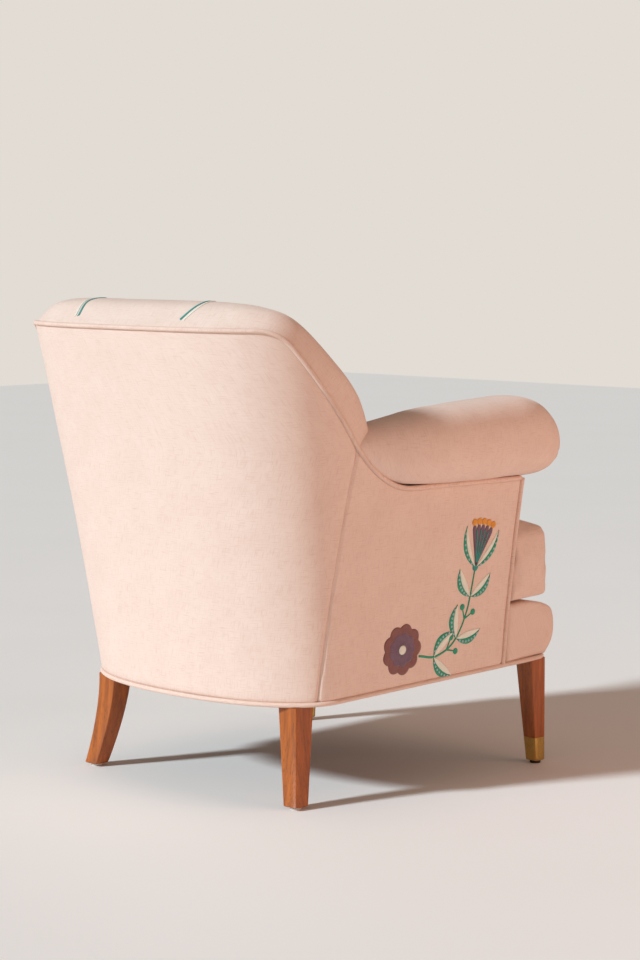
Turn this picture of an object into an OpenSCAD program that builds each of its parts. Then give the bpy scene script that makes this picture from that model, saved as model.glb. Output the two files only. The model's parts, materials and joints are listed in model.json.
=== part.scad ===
// Small upholstered armchair with a raked, rounded back, rolled arms and a loose T-shaped seat cushion.
// The sitter looks along -Y, so the chair's left arm is at +X. The origin is on the floor, under the
// middle of the chair's outer box.

/* [Overall] */
// Width across the two arm rolls
chair_w = 742; // [680:1:820]
// Depth from the front border to the piping at the top of the back
chair_d = 753; // [700:1:850]
// Height of the piping along the top of the outside back
back_h = 779; // [720:1:880]
// Height of the arm rolls
arm_h = 655; // [630:1:680]
// Height of the seat frame's underside at its back edge
leg_h = 162; // [130:1:190]

/* [Outside shell] */
// Width of the seat frame where its straight sides begin
base_w = 552; // [520:1:580]
// How far the top of the back leans behind the seat frame
back_rake = 108; // [90:1:130]
// How much wider the top of the back is than the seat frame, on each side
back_widen = 60; // [45:1:70]
// Depth over which the piping climbs from the arms to the top of the back
wing_run = 220; // [205:1:230]
// Depth of the rounded back corners
corner_d = 121; // [105:1:135]
// Widening of each side towards the front, in degrees
side_flare = 3.15; // [2:0.05:4]
// Rise of the seat frame towards the front, in degrees
seat_pitch = 2.4; // [1:0.1:4]
// Thickness of the outside panels: linen on card
panel_t = 3; // [2:0.5:4]

/* [Arms] */
// Height of the arm rolls above the arm boards
roll_h = 139; // [130:1:155]
// Width of the arm rolls
roll_w = 142; // [130:1:150]
// How far the arm noses stand in front of the arm panels
nose_d = 107; // [90:1:120]
// Thickness of the fabric covers
cover_t = 2.5; // [1.5:0.5:4]

/* [Seat] */
// How far the front border stands in front of the feet of the arm panels
border_d = 141; // [125:1:155]
// Thickness of the loose seat cushion at its border
cushion_t = 128; // [100:1:140]
// Width of the seat cushion across its ears
ear_w = 600; // [560:1:610]
// Width of the seat cushion between the arms
cushion_w = 452; // [420:1:456]
// Height of the cushion's underside over the seat frame's underside
deck_h = 107.5; // [104:0.5:118]
// Thickness of the foam deck over the springs
deck_t = 26; // [18:1:26]

/* [Frame] */
// Height of the seat rails
rail_h = 70; // [60:1:74]
// Thickness of the seat rails
rail_t = 25; // [20:1:30]
// Thickness of the arm boards and the top former
board_t = 18; // [15:1:22]
// Height of the blocks that the legs bolt into
block_h = 38; // [30:1:45]

/* [Legs] */
// Side of a back leg at the top
back_leg_top = 44; // [38:1:48]
// Side of a back leg at the foot
back_leg_foot = 31; // [26:1:36]
// How far a back leg sweeps out, to the side and to the back alike
sweep = 24; // [10:1:30]
// Side of a front leg at the top
front_leg_top = 40; // [34:1:44]
// Side of a front leg at the foot
front_leg_foot = 25; // [22:1:32]
// Height of the brass ferrules
ferrule_h = 42; // [25:1:60]
// Wall of the brass ferrules
ferrule_t = 1.2; // [1:0.1:2]
// Height of the glides
glide_h = 5; // [3:0.5:8]

/* [Trim] */
// Radius of the piping
welt_r = 4; // [3:0.25:5]

/* [Hidden] */

linen = "#ebc4b2";
foam = "#f0e6c8";
beech = "#d9b382";
leg_wood = "#a9662f";
steel = "#8d9094";
brass = "#c39a55";
nylon = "#e8e8e4";
black_cloth = "#26262a";
jute = "#b79a6b";

gap = 0.3;                               // clearance between pieces that lie against each other
y_rear = chair_d / 2 - welt_r;           // middle of the piping at the back
y_front = -chair_d / 2;                  // front of the front border
base_rear = y_rear - back_rake;          // back edge of the seat frame
join_y = base_rear - corner_d;           // where the rounded corners meet the straight sides
flare = tan(side_flare);
arm_z = arm_h - roll_h;                  // top of the arm boards
welt_low = arm_z - welt_r - 0.6;         // the piping under the arm rolls
edge_y = y_front + border_d;             // foot of the outside arm panels' front edges
edge_lean = 12;                          // how far those edges lean forwards at the top
nose_y = edge_y - edge_lean - nose_d;    // tip of the arm noses
border_drop = 19;                        // how far the border's foot is set back from its front
wing_slope = (back_h - arm_z) / wing_run; // rise over run of the piping down the wings
wing_foot = join_y - 62;                 // where that slope would meet the arm boards' height
seam_foot = join_y + 40;                 // the side seam at the seat frame
seam_sweep = 42;                         // how far the side seam moves forwards on its way up
seam_h = 414;                            // height of the side seam
frame_in = 6;                            // setback of the rails inside the shell
inner_x = cushion_w / 2 + 5;             // inside face of the arms
post_w = 32;                             // back post, across
post_d = 38;                             // back post, front to back
post_foot = [base_w / 2 - 47, join_y + 37];
post_head = [base_w / 2 + back_widen - 54, y_rear - 117];
post_z0 = leg_h + 54;
former_z = back_h - 30;                  // underside of the top former and top of the back posts
bolt_r = 4;
bolt_gap = 0.05;

// ---------- heights and plan of the shell ----------

function base_z(y) = leg_h + tan(seat_pitch) * (base_rear - y);
function level(z) = max(0, (z - leg_h) / (back_h - leg_h));
function half_w(z) = base_w / 2 + back_widen * pow(level(z), 1.1);
function rear(z) = base_rear + back_rake * pow(level(z), 1.1);
function power(z) = 2.15 + 0.95 * level(z);

// the shell's side at a given depth and height
function side_x(y, z, in = 0) = y > join_y
    ? (half_w(z) - in) * pow(max(0, 1 - pow((y - join_y) / (rear(z) - in - join_y), power(z))), 1 / power(z))
    : half_w(z) - in + flare * (join_y - y);

// the shell's back at a given distance from the middle
function rear_y(x, z, in = 0) = join_y + (rear(z) - in - join_y)
    * pow(max(0, 1 - pow(abs(x) / (half_w(z) - in), power(z))), 1 / power(z));

// a point of the rounded back; turn runs from -90 at the right side to 90 at the left side
function shell(turn, z, in = 0) = [
    sign(turn) * (half_w(z) - in) * pow(abs(sin(turn)), 2 / power(z)),
    join_y + (rear(z) - in - join_y) * pow(abs(cos(turn)), 2 / power(z)),
    z];

// the turn at which the rounded back reaches a given depth
function turn_at(y, z) = acos(pow(max(0, min(1, (y - join_y) / (rear(z) - join_y))), power(z) / 2));

function soft_max(a, b, k) = max(a, b) + pow(max(k - abs(a - b), 0) / k, 2) * k / 4;
function soft_min(a, b, k) = -soft_max(-a, -b, k);

// the piping line: level over the arm, sloping up the wing, level along the top
function welt_z(y) = soft_min(back_h, soft_max(welt_low, welt_low + wing_slope * (y - wing_foot), 84), 28);
function wing_y(z) = wing_foot + (z - welt_low) / wing_slope + 26 * exp((z - back_h) / 6);
function seam_y(z) = seam_foot - seam_sweep * pow((z - leg_h - 8) / seam_h, 2);
function arm_edge_y(z) = edge_y - edge_lean * pow(max(0, z - leg_h - 28) / (arm_z - leg_h - 28), 2);

// ---------- curves and skins ----------

// a smooth curve through a list of points; t runs from 0 to 1
function curve(p, t) = let (n = len(p) - 1, s = min(t * n, n - 0.000001), i = floor(s), f = s - i,
        a = p[i], b = p[i + 1], before = i > 0 ? p[i - 1] : 2 * a - b, after = i < n - 1 ? p[i + 2] : 2 * b - a)
    a + f * (b - before) / 2 + f * f * (2 * before - 5 * a + 4 * b - after) / 2
      + f * f * f * (3 * a - before - 3 * b + after) / 2;

function unit(v) = v / max(norm(v), 0.000001);
function flat(list) = [for (part = list) for (p = part) p];
function mirror_x(p) = [-p[0], p[1], p[2]];

// a grid moved along its own normals
function thickened(g, d) = let (n = len(g) - 1, m = len(g[0]) - 1)
    [for (i = [0:n]) [for (j = [0:m])
        let (a = g[min(i + 1, n)][j] - g[max(i - 1, 0)][j], b = g[i][min(j + 1, m)] - g[i][max(j - 1, 0)])
        g[i][j] + d * unit(cross(a, b))]];

// the closed solid between two grids of the same size
module between(a, b) {
    n = len(a);
    m = len(a[0]);
    total = n * m;
    function at(i, j) = i * m + j;
    skins = [for (i = [0:n - 2]) for (j = [0:m - 2]) for (f = [
        [at(i, j), at(i + 1, j), at(i + 1, j + 1)], [at(i, j), at(i + 1, j + 1), at(i, j + 1)]]) f];
    backs = [for (f = skins) [total + f[0], total + f[2], total + f[1]]];
    rim = concat([for (j = [0:m - 2]) at(0, j)], [for (i = [0:n - 2]) at(i, m - 1)],
        [for (j = [m - 1:-1:1]) at(n - 1, j)], [for (i = [n - 1:-1:1]) at(i, 0)]);
    edges = [for (k = [0:len(rim) - 1]) let (p = rim[k], q = rim[(k + 1) % len(rim)])
        for (f = [[p, q, total + q], [p, total + q, total + p]]) f];
    polyhedron(points = concat(flat(a), flat(b)), faces = concat(skins, backs, edges), convexity = 6);
}

// the closed solid through a row of rings; a looped row joins its last ring to its first
module loft(rings, loop = false) {
    n = len(rings);
    m = len(rings[0]);
    last = loop ? n - 1 : n - 2;
    sides = [for (i = [0:last]) for (j = [0:m - 1])
        let (p = i * m + j, q = i * m + (j + 1) % m, r = ((i + 1) % n) * m + j, s = ((i + 1) % n) * m + (j + 1) % m)
        for (f = [[p, s, q], [p, r, s]]) f];
    caps = loop ? [] : [[for (j = [0:m - 1]) j], [for (j = [m - 1:-1:0]) (n - 1) * m + j]];
    polyhedron(points = flat(rings), faces = concat(sides, caps), convexity = 6);
}

// a round cord along a path
module cord(path, r, sides = 8, loop = false) {
    n = len(path);
    loft([for (i = [0:n - 1])
        let (ahead = path[loop ? (i + 1) % n : min(i + 1, n - 1)], behind = path[loop ? (i + n - 1) % n : max(i - 1, 0)],
            t = unit(ahead - behind), up = abs(t[2]) > 0.9 ? [1, 0, 0] : [0, 0, 1],
            a = unit(cross(up, t)), b = cross(t, a))
        [for (k = [0:sides - 1]) path[i] + r * (cos(360 * k / sides) * a + sin(360 * k / sides) * b)]], loop);
}

// a straight timber between two points, with level ends
module beam(low, high, w, d) {
    hull() {
        translate([low[0] - w / 2, low[1] - d / 2, low[2]]) cube([w, d, 0.01]);
        translate([high[0] - w / 2, high[1] - d / 2, high[2] - 0.01]) cube([w, d, 0.01]);
    }
}

// the seat frame's own plane: y is 0 at its back edge, z is 0 at its underside
module on_base() translate([0, base_rear, leg_h]) rotate([-seat_pitch, 0, 0]) children();
function base_y(y) = (y - base_rear) / cos(seat_pitch);

module left(on) mirror([on ? 0 : 1, 0, 0]) children();

// ---------- seat frame ----------

rail_z = 1.5;                            // the dust cover lies under the rails
rail_top = rail_z + rail_h;
front_rail_y = y_front + 27;            // front face of the front rail
block_in = 66;                           // reach of a corner block along its rails
back_block_x = base_w / 2 - 96;
back_block_y = join_y - 28;
front_block_y = front_rail_y + 84;
front_leg_xy = [side_x(edge_y, leg_h) - 19, front_rail_y + 14];
back_leg_xy = [base_w / 2 - 52, join_y + 49];

module front_seat_rail() color(beech) on_base()
    translate([-front_leg_xy[0] + 42, base_y(front_rail_y), rail_z])
        cube([2 * front_leg_xy[0] - 84, rail_t, rail_h]);

module back_seat_rail() color(beech) on_base() translate([0, 0, rail_z]) linear_extrude(rail_h)
    polygon(concat(
        [for (k = [-8:8]) let (x = back_block_x * k / 8) [x, rear_y(x, leg_h, frame_in) - base_rear]],
        [for (k = [8:-1:-8]) let (x = back_block_x * k / 8) [x, rear_y(x, leg_h, frame_in) - base_rear - rail_t]]));

module seat_rail() color(beech) on_base() translate([0, 0, rail_z]) linear_extrude(rail_h)
    polygon([for (e = [[back_block_y, 0], [front_block_y, 0], [front_block_y, rail_t], [back_block_y, rail_t]])
        [side_x(e[0], leg_h, frame_in) - e[1], base_y(e[0])]]);

module leg_hole(xy, r) translate([xy[0], base_y(xy[1]), -1]) cylinder(h = block_h + 4, r = r, $fn = 32);

module corner_blocks() color(beech) on_base() for (on = [true, false]) left(on) difference() {
    translate([0, 0, rail_z]) linear_extrude(block_h) {
        polygon(concat(
            [for (k = [0:6]) let (x = back_block_x + gap + k / 6 * (side_x(join_y, leg_h, frame_in) - back_block_x - gap - 4))
                [x, rear_y(x, leg_h, frame_in) - base_rear]],
            [[side_x(join_y, leg_h, frame_in), join_y - base_rear],
             [side_x(back_block_y, leg_h, frame_in), base_y(back_block_y + gap)],
             [side_x(back_block_y, leg_h, frame_in) - block_in, base_y(back_block_y + gap)],
             [back_block_x + gap, rear_y(back_block_x, leg_h, frame_in) - base_rear - block_in]]));
        polygon([for (e = [[front_leg_xy[0] - 42 + gap, front_rail_y], [front_leg_xy[0], front_rail_y],
                [side_x(front_block_y, leg_h, frame_in) - 4, front_rail_y + 12],
                [side_x(front_block_y, leg_h, frame_in), front_block_y - gap],
                [side_x(front_block_y, leg_h, frame_in) - 40, front_block_y - gap],
                [front_leg_xy[0] - 42 + gap, front_rail_y + 44]]) [e[0], base_y(e[1])]]);
    }
    leg_hole(back_leg_xy, bolt_r + bolt_gap);
    leg_hole(front_leg_xy, bolt_r + bolt_gap);
}

module dust_cover() color(black_cloth) on_base() difference() {
    linear_extrude(rail_z - gap) polygon(concat(
        [for (turn = [-90:15:90]) let (p = shell(turn, leg_h, 9)) [p[0], p[1] - base_rear]],
        [for (s = [1, -1]) for (y = s > 0 ? [edge_y, front_rail_y + 6] : [front_rail_y + 6, edge_y])
            [s * (side_x(y, leg_h) - 11), base_y(y)]]));
    for (x = [-1, 1]) {
        leg_hole([x * back_leg_xy[0], back_leg_xy[1]], bolt_r + 1);
        leg_hole([x * front_leg_xy[0], front_leg_xy[1]], bolt_r + 1);
    }
}

// ---------- back frame ----------

function post_at(z) = let (t = (z - post_z0) / (former_z - post_z0)) post_foot + t * (post_head - post_foot);
function post_front(z) = post_at(z)[1] - post_d / 2;

module back_post() color(beech)
    beam([post_foot[0], post_foot[1], post_z0], [post_head[0], post_head[1], former_z - gap], post_w, post_d);

// a rail between the back posts, square to their lean
module back_rail(z, h) {
    low = post_at(z);
    high = post_at(z + h);
    w = low[0] - post_w / 2 - gap;
    hull() {
        translate([-w, low[1] - post_d / 2, z]) cube([2 * w, post_d, 0.01]);
        translate([-w - high[0] + low[0], high[1] - post_d / 2, z + h - 0.01])
            cube([2 * (w + high[0] - low[0]), post_d, 0.01]);
    }
}

module top_back_rail() color(beech) back_rail(former_z - 60, 60 - gap);
module lower_back_rail() color(beech) back_rail(leg_h + 130, 50);

module top_former() color(beech) translate([0, 0, former_z]) linear_extrude(board_t) {
    reach = post_head[0] + post_w / 2 - 12;
    front = post_front(former_z);
    polygon(concat(
        [for (k = [-10:10]) let (x = reach * k / 10) [x, rear_y(x, former_z, frame_in + 2)]],
        [[reach, front + 24], [reach - 24, front], [24 - reach, front], [-reach, front + 24]]));
}

// a strap in the plane of the posts' front faces
module strap(x0, x1, z0, z1) hull() for (z = [z0, z1 - 0.5])
    translate([x0, post_front(z) - 2, z]) cube([x1 - x0, 1.5, 0.5]);

module back_webbing() color(jute) {
    low = leg_h + 140;
    high = former_z - 12;
    for (x = [-110, 0, 110]) strap(x - 25, x + 25, low, high);
    for (z = [low + 85, low + 180, low + 275]) strap(-post_at(z)[0], post_at(z)[0], z, z + 50);
}

// ---------- arm frame ----------

arm_post_w = 36;
arm_post_foot = [side_x(edge_y, leg_h) - 28, edge_y + 28];
arm_post_head = [side_x(edge_y, arm_z) - 34, edge_y + 14];

module arm_post() color(beech)
    beam([arm_post_foot[0], arm_post_foot[1], base_z(edge_y + 20) + rail_top + 3],
        [arm_post_head[0], arm_post_head[1], arm_z - board_t - gap], arm_post_w, arm_post_w);

module arm_board() color(beech) translate([0, 0, arm_z - board_t]) linear_extrude(board_t - gap) {
    tail = post_front(arm_z - board_t) - 4;
    polygon(concat(
        [for (k = [0:6]) let (y = edge_y - 6 + (tail - edge_y + 6) * k / 6) [side_x(y, arm_z - board_t, frame_in), y]],
        [[inner_x + 21, tail], [inner_x + 21, edge_y - 6]]));
}

// ---------- suspension ----------

spring_wire = 3.8;
spring_bends = 11;
spring_reach = 22;                       // half the width of a zigzag spring
spring_front = base_y(front_rail_y) + 10;
spring_at = [-176, -88, 0, 88, 176];
// the outer springs are shorter, because the back rail curves forwards
function spring_back(x) = rear_y(x, leg_h, frame_in) - base_rear - 16;
function spring_side(x, side) = let (run = spring_back(x) - spring_front) [for (k = [0:132])
    let (a = k / 132 * spring_bends * 180, n = unit([run, -spring_reach * spring_bends * PI * cos(a)]) * spring_wire / 2)
    [x + spring_reach * sin(a) + side * n[0], spring_front + run * k / 132 + side * n[1]]];

module seat_springs() color(steel) on_base() translate([0, 0, rail_top + 1.2]) linear_extrude(spring_wire)
    for (x = spring_at) polygon(concat(spring_side(x, 1), [for (k = [132:-1:0]) spring_side(x, -1)[k]]));

module spring_clips() color(steel) on_base() for (x = spring_at) for (y = [spring_front - 5, spring_back(x) - 9])
    translate([x - 11, y, rail_top]) clip();
module clip() difference() {
    cube([22, 14, 8]);
    translate([-1, -1, 1]) cube([24, 16, 4.3]);
}

deck_z = deck_h - deck_t - 0.5;
module seat_deck() color(foam) on_base() translate([0, 0, deck_z]) linear_extrude(deck_t)
    rounded([-inner_x + 2, base_y(y_front + 112)], [inner_x - 2, base_y(cushion_rear)], 12);

// a rectangle between two corners, with round corners
module rounded(low, high, r) polygon(flat([for (c = [[high[0] - r, high[1] - r, 0], [low[0] + r, high[1] - r, 90],
        [low[0] + r, low[1] + r, 180], [high[0] - r, low[1] + r, 270]])
    [for (a = [0:15:90]) [c[0] + r * cos(c[2] + a), c[1] + r * sin(c[2] + a)]]]));

// ---------- back upholstery ----------

// The back's inside cover, from the piping over the crest and down the front.
// Each station gives its points from the piping to the seat: share of the half width, distance in
// front of the piping at the back, and share of the way down from the back's height to the arm boards.
stations = [
    [[0, 0, 0], [0, 47, -0.146], [0, 99, -0.139], [0, 151, 0.07], [0, 209, 0.67]],
    [[0.446, 6, 0], [0.44, 53, -0.146], [0.43, 105, -0.135], [0.417, 155, 0.08], [0.402, 213, 0.67]],
    [[0.744, 34, 0], [0.714, 72, -0.127], [0.68, 115, -0.109], [0.62, 165, 0.1], [0.565, 227, 0.67]],
    [[0.893, 80, 0.064], [0.857, 109, -0.049], [0.81, 139, -0.026], [0.729, 177, 0.139], [0.64, 242, 0.67]],
    [[0.943, 132, 0.277], [0.917, 179, 0.213], [0.857, 197, 0.191], [0.78, 205, 0.296], [0.69, 259, 0.708]],
    [[0.952, 177, 0.491], [0.923, 231, 0.416], [0.869, 247, 0.416], [0.804, 249, 0.483], [0.702, 275, 0.783]],
    [[0.94, 237, 0.757], [0.911, 269, 0.685], [0.863, 279, 0.67], [0.81, 279, 0.727], [0.714, 285, 0.895]]];
// where the inside cover meets the seat deck, as a share of half the space between the arms
tuck_x = [0, 0.55, 0.8, 0.88, 0.935, 0.965, 0.98];
tuck_y = [2, 1, 0, 0, -1, -3, -5];
tuck_z = leg_h + 138;
back_face = y_rear - 249;                // front of the inside back at the seat deck
cushion_rear = back_face - 12;

function station_point(e) = [e[0] * (base_w / 2 + back_widen), y_rear - e[1], back_h - e[2] * (back_h - arm_z)];
function station(i) = let (e = stations[i], p = [for (q = e) station_point(q)])
    concat([p[0] + [0, -4, 4.5]], [for (k = [1:4]) p[k]], [[tuck_x[i] * inner_x, back_face + tuck_y[i], tuck_z]]);
function cover_point(s, t) = curve([for (k = [0:5]) curve([for (i = [0:6]) station(i)[k]], s)], t);
function half_row(t, n, reach) = [for (i = [0:n]) cover_point(reach * i / n, t)];
cover_rows = 15;
cover_cols = 12;                         // on each side of the middle
cover = [for (k = [0:cover_rows]) let (row = half_row(k / cover_rows, cover_cols, 1))
    concat([for (i = [cover_cols:-1:1]) mirror_x(row[i])], row)];
lining = thickened(cover, -cover_t - gap);
// the part of a grid between two rows, out to a column on each side
function patch(g, low, high, reach) =
    [for (i = [low:high]) [for (j = [cover_cols - reach:cover_cols + reach]) g[i][j]]];

module inside_back_cover() color(linen) between(cover, thickened(cover, -cover_t));

module back_pad() color(foam) {
    g = patch(lining, 9, cover_rows, cover_cols - 1);
    between(g, [for (row = g) [for (p = row) [p[0] * 0.985, post_front(p[2]) - 3, p[2]]]]);
}

module back_edge_roll() color(foam) {
    g = patch(lining, 1, 7, 5);
    between(g, [for (row = g) [for (p = row) [p[0] * 0.98, p[1], former_z + board_t + gap]]]);
}

module wing_pad() color(foam) hull() for (e = [[0.84, 156, 0.15], [0.88, 206, 0.44], [0.87, 250, 0.7]])
    translate(station_point(e)) sphere(r = 14, $fn = 12);

// ---------- outside panels ----------

trim_gap = welt_r + 0.4;

module outside_back_panel() {
    rows = 10;
    cols = 9;
    function edge_turn(z) = turn_at(max(seam_y(z) + 0.6, z > welt_low ? wing_y(z) + 7 : 0, join_y), z);
    function row(k, in) = let (low = leg_h + 9, z = low + (back_h - trim_gap - low) * k / rows)
        [for (j = [-cols:cols]) let (p = shell(edge_turn(z) * j / cols, z, in))
            [p[0], p[1], max(z, base_z(p[1]) + 8.6)]];
    color(linen) between([for (k = [0:rows]) row(k, 0)], [for (k = [0:rows]) row(k, panel_t)]);
}

module outside_arm_panel() {
    rows = 8;
    cols = 10;
    function depth(z, j) = arm_edge_y(z) + (seam_y(z) - 0.6 - arm_edge_y(z)) * j / cols;
    function height(y, k) = let (low = base_z(y) + 8.6) low + (welt_z(y) - trim_gap - 1 - low) * k / rows;
    function settled(z, j, k, n) = n == 0 ? z : settled(height(depth(z, j), k), j, k, n - 1);
    function point(k, j, in) = let (z = settled(leg_h + (arm_z - leg_h) * k / rows, j, k, 4), y = depth(z, j))
        [side_x(y, z, in), y, z];
    color(linen) between([for (k = [0:rows]) [for (j = [0:cols]) point(k, j, 0)]],
        [for (k = [0:rows]) [for (j = [0:cols]) point(k, j, panel_t)]]);
}

module arm_front_panel() color(linen)
    beam([side_x(edge_y, leg_h + 110) - 40, edge_y + 3.5, leg_h + 112],
        [side_x(edge_y, arm_z) - 46, edge_y - edge_lean + 3, arm_z - board_t - 1], 66, 4);

// ---------- arm upholstery ----------

roll_x = chair_w / 2 - roll_w / 2;
roll_tail = join_y - 62;
roll_len = roll_tail - nose_y;
// rings of the roll: shares of the length from the tail, of the width that the middle stands inwards,
// of the width, and of the height, low and high
roll_shape = [[0, 0.1, 0.704, 0.115, 0.777], [0.108, 0.05, 0.831, 0.036, 0.842], [0.268, 0.014, 0.944, 0, 0.914],
    [0.429, 0, 0.965, 0, 0.95], [0.589, 0, 0.986, 0, 0.978], [0.706, 0, 1, 0, 1], [0.789, 0, 0.979, 0, 0.978],
    [0.858, 0, 0.894, 0.014, 0.91], [0.917, 0, 0.746, 0.065, 0.791], [0.963, 0.007, 0.549, 0.137, 0.633],
    [0.991, 0.014, 0.31, 0.23, 0.482], [1, 0.014, 0.1, 0.31, 0.4]];

function roll_ring(e, in, sides = 20) = let (h = roll_h * (e[4] - e[3]) / 2 - in, w = roll_w * e[2] / 2 - in)
    [for (k = [0:sides - 1]) let (a = 360 * k / sides)
        [roll_x - e[1] * roll_w + w * sign(cos(a)) * pow(abs(cos(a)), 0.8), roll_tail - e[0] * (roll_len - in),
         arm_z + gap + roll_h * (e[3] + e[4]) / 2 + h * sign(sin(a)) * pow(abs(sin(a)), 0.86)]];

module arm_pad() color(foam) loft([for (e = roll_shape) roll_ring(e, cover_t + gap)]);

module arm_cover() color(linen) difference() {
    loft([for (e = roll_shape) roll_ring(e, 0)]);
    translate([0, 0.05, 0]) loft([for (e = roll_shape) roll_ring(e, cover_t)]);
}

module inside_arm_pad() color(foam)
    translate([inner_x + 1, edge_y + 8, leg_h + 102]) cube([18, roll_tail - edge_y - 14, arm_z - leg_h - 104]);

// ---------- seat ----------

border_top = leg_h + 128;                // top of the front border where it meets the arms
function border_line(in) = [[y_front + border_drop + 4 + in, base_z(y_front) + 9], [y_front + 6 + in, base_z(y_front) + 26],
    [y_front + in, base_z(y_front) + 48], [y_front + 3 + in, border_top - 26 - in / 2],
    [y_front + 16 + in, border_top - 13 - in], [y_front + 110, border_top - in]];

module border_bar(outline, half) translate([-half, 0, 0]) rotate([90, 0, 90]) linear_extrude(2 * half) polygon(outline);

module front_border_pad() color(foam)
    border_bar(concat(border_line(cover_t + gap), [[y_front + 110, border_top - 14],
        [front_rail_y - 1, border_top - 19], [front_rail_y - 1, base_z(y_front) + 9]]), ear_w / 2 - 4);

module front_border_cover() color(linen) {
    border_bar(concat(border_line(0), [for (k = [5:-1:0]) border_line(cover_t)[k]]), ear_w / 2);
    for (x = [-ear_w / 2, ear_w / 2 - cover_t]) translate([x, 0, 0]) rotate([90, 0, 90]) linear_extrude(cover_t)
        polygon(concat(border_line(0), [[edge_y - edge_lean - 12, border_top - 3],
            [edge_y - edge_lean - 12, base_z(edge_y) + 10]]));
}

cushion_front = y_front + 4;
ear_rear = edge_y - edge_lean - 6;
module seat_cushion_core() color(foam) on_base() translate([0, 0, deck_h + cover_t + gap])
    cushion_solid(cover_t + gap, cushion_t - 2 * cover_t - 2 * gap);

// the T-shaped cushion, with rounded corners, pulled in by a margin
module cushion_solid(in, h) {
    r = 26;
    linear_extrude(h) rounded([-ear_w / 2 + in, base_y(cushion_front) + in],
        [ear_w / 2 - in, base_y(ear_rear) - in], r);
    linear_extrude(h) rounded([-cushion_w / 2 + in, base_y(cushion_front) + in + 4],
        [cushion_w / 2 - in, base_y(cushion_rear) - in], r);
}

module seat_cushion_cover() color(linen) on_base() difference() {
    translate([0, 0, deck_h]) cushion_solid(0, cushion_t);
    translate([0, 0, deck_h + cover_t]) cushion_solid(cover_t, cushion_t - 2 * cover_t);
}

zip_z = deck_h + cushion_t / 2;
zip_half = cushion_w / 2 - 30;
module cushion_zip() color(jute) on_base()
    translate([-zip_half, base_y(cushion_rear), zip_z - 12]) cube([2 * zip_half, 1.2, 24]);

module zip_slider() color(steel) on_base() translate([zip_half - 12, base_y(cushion_rear) + 1.2 + gap, zip_z]) {
    translate([-5, 0, -4]) cube([10, 2.6, 8]);
    translate([-2.5, 0.4, -24]) cube([5, 1.4, 20.5]);
}

// ---------- piping ----------

function side_welt(y) = let (z = welt_z(y)) [side_x(y, z), y, z];
welt_head = wing_foot + wing_run + 22;
welt_turn = turn_at(welt_head, back_h);
half_welt = concat(
    [for (k = [0:24]) side_welt(edge_y - edge_lean + 3 + (welt_head - edge_y + edge_lean - 3) * k / 24)],
    [for (k = [1:9]) shell(welt_turn * (1 - k / 9), back_h)]);

module top_welt() color(linen) cord(concat(half_welt, [for (k = [len(half_welt) - 2:-1:0]) mirror_x(half_welt[k])]), welt_r);

module arm_front_welt() color(linen) cord([for (k = [0:10])
    let (z = base_z(edge_y) + 10 + (arm_z - welt_r - 2 - base_z(edge_y) - 10) * k / 10)
    [side_x(arm_edge_y(z), z) - 3, arm_edge_y(z) - welt_r - gap, z]], welt_r, 6);

base_corner = 22;
function base_point(x, y) = [x, y, base_z(y) + welt_r];
base_side = [for (y = [join_y:-62:y_front + border_drop + base_corner + 30]) base_point(side_x(y, leg_h), y)];
base_front_y = y_front + border_drop + 4;
base_front_x = ear_w / 2 - base_corner;
base_bend = [for (a = [0:22.5:90]) base_point(base_front_x + base_corner * cos(a), base_front_y + base_corner * (1 - sin(a)))];
base_half = concat([for (turn = [6:12:90]) let (p = shell(turn, leg_h)) base_point(p[0], p[1])], base_side, base_bend,
    [for (x = [base_front_x - 68:-68:20]) base_point(x, base_front_y)]);

module base_welt() color(linen)
    cord(concat(base_half, [for (k = [len(base_half) - 1:-1:0]) mirror_x(base_half[k])]), welt_r, 6, loop = true);

// ---------- legs ----------

// a square ring with small flats at its corners
function square_ring(c, side, z, turn, level = true) = [for (q = [0:3]) for (e = [-1, 0, 1])
    let (a = 45 + 90 * q + turn + e * 6, r = side / sqrt(2) * (e == 0 ? 0.955 : 0.985),
        x = c[0] + r * cos(a), y = c[1] + r * sin(a)) [x, y, level ? z : base_z(y)]];

module back_leg() color(leg_wood) difference() {
    loft([for (k = [0:8]) let (t = k / 8, s = pow(t, 1.6), z = base_z(back_leg_xy[1]) * (1 - t) + glide_h * t)
        square_ring(back_leg_xy + s * [sweep, sweep], back_leg_top + (back_leg_foot - back_leg_top) * t, z, 45, k > 0)]);
    leg_bore(back_leg_xy);
}

module leg_bore(xy) on_base() translate([xy[0], base_y(xy[1]), -38]) cylinder(h = 40, r = bolt_r + bolt_gap, $fn = 32);

front_sweep = [7, -7];
front_top_z = base_z(front_leg_xy[1]);
ferrule_z = glide_h + ferrule_h;
function front_t(z) = (front_top_z - z) / (front_top_z - glide_h);
function front_side(z) = front_leg_top + (front_leg_foot - front_leg_top) * front_t(z);
function front_ring(z, thin, level = true) =
    square_ring(front_leg_xy + front_t(z) * front_sweep, front_side(z) - 2 * thin, z, 0, level);

module front_leg() color(leg_wood) difference() {
    loft([front_ring(glide_h + ferrule_t + gap, ferrule_t + 0.1), front_ring(ferrule_z, ferrule_t + 0.1),
        front_ring(ferrule_z + 0.1, 0), front_ring(front_top_z / 2 + 20, 0), front_ring(front_top_z, 0, false)]);
    leg_bore(front_leg_xy);
}

module ferrule() color(brass) difference() {
    loft([front_ring(glide_h, 0), front_ring(ferrule_z, 0)]);
    loft([front_ring(glide_h + ferrule_t, ferrule_t), front_ring(ferrule_z + 1, ferrule_t)]);
}

module glide(xy) translate([xy[0], xy[1], 0]) {
    cylinder(h = glide_h, r1 = 9, r2 = 10, $fn = 32);
}

module back_glides() color(nylon) for (x = [-1, 1])
    glide([x * (back_leg_xy[0] + sweep), back_leg_xy[1] + sweep]);

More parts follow.
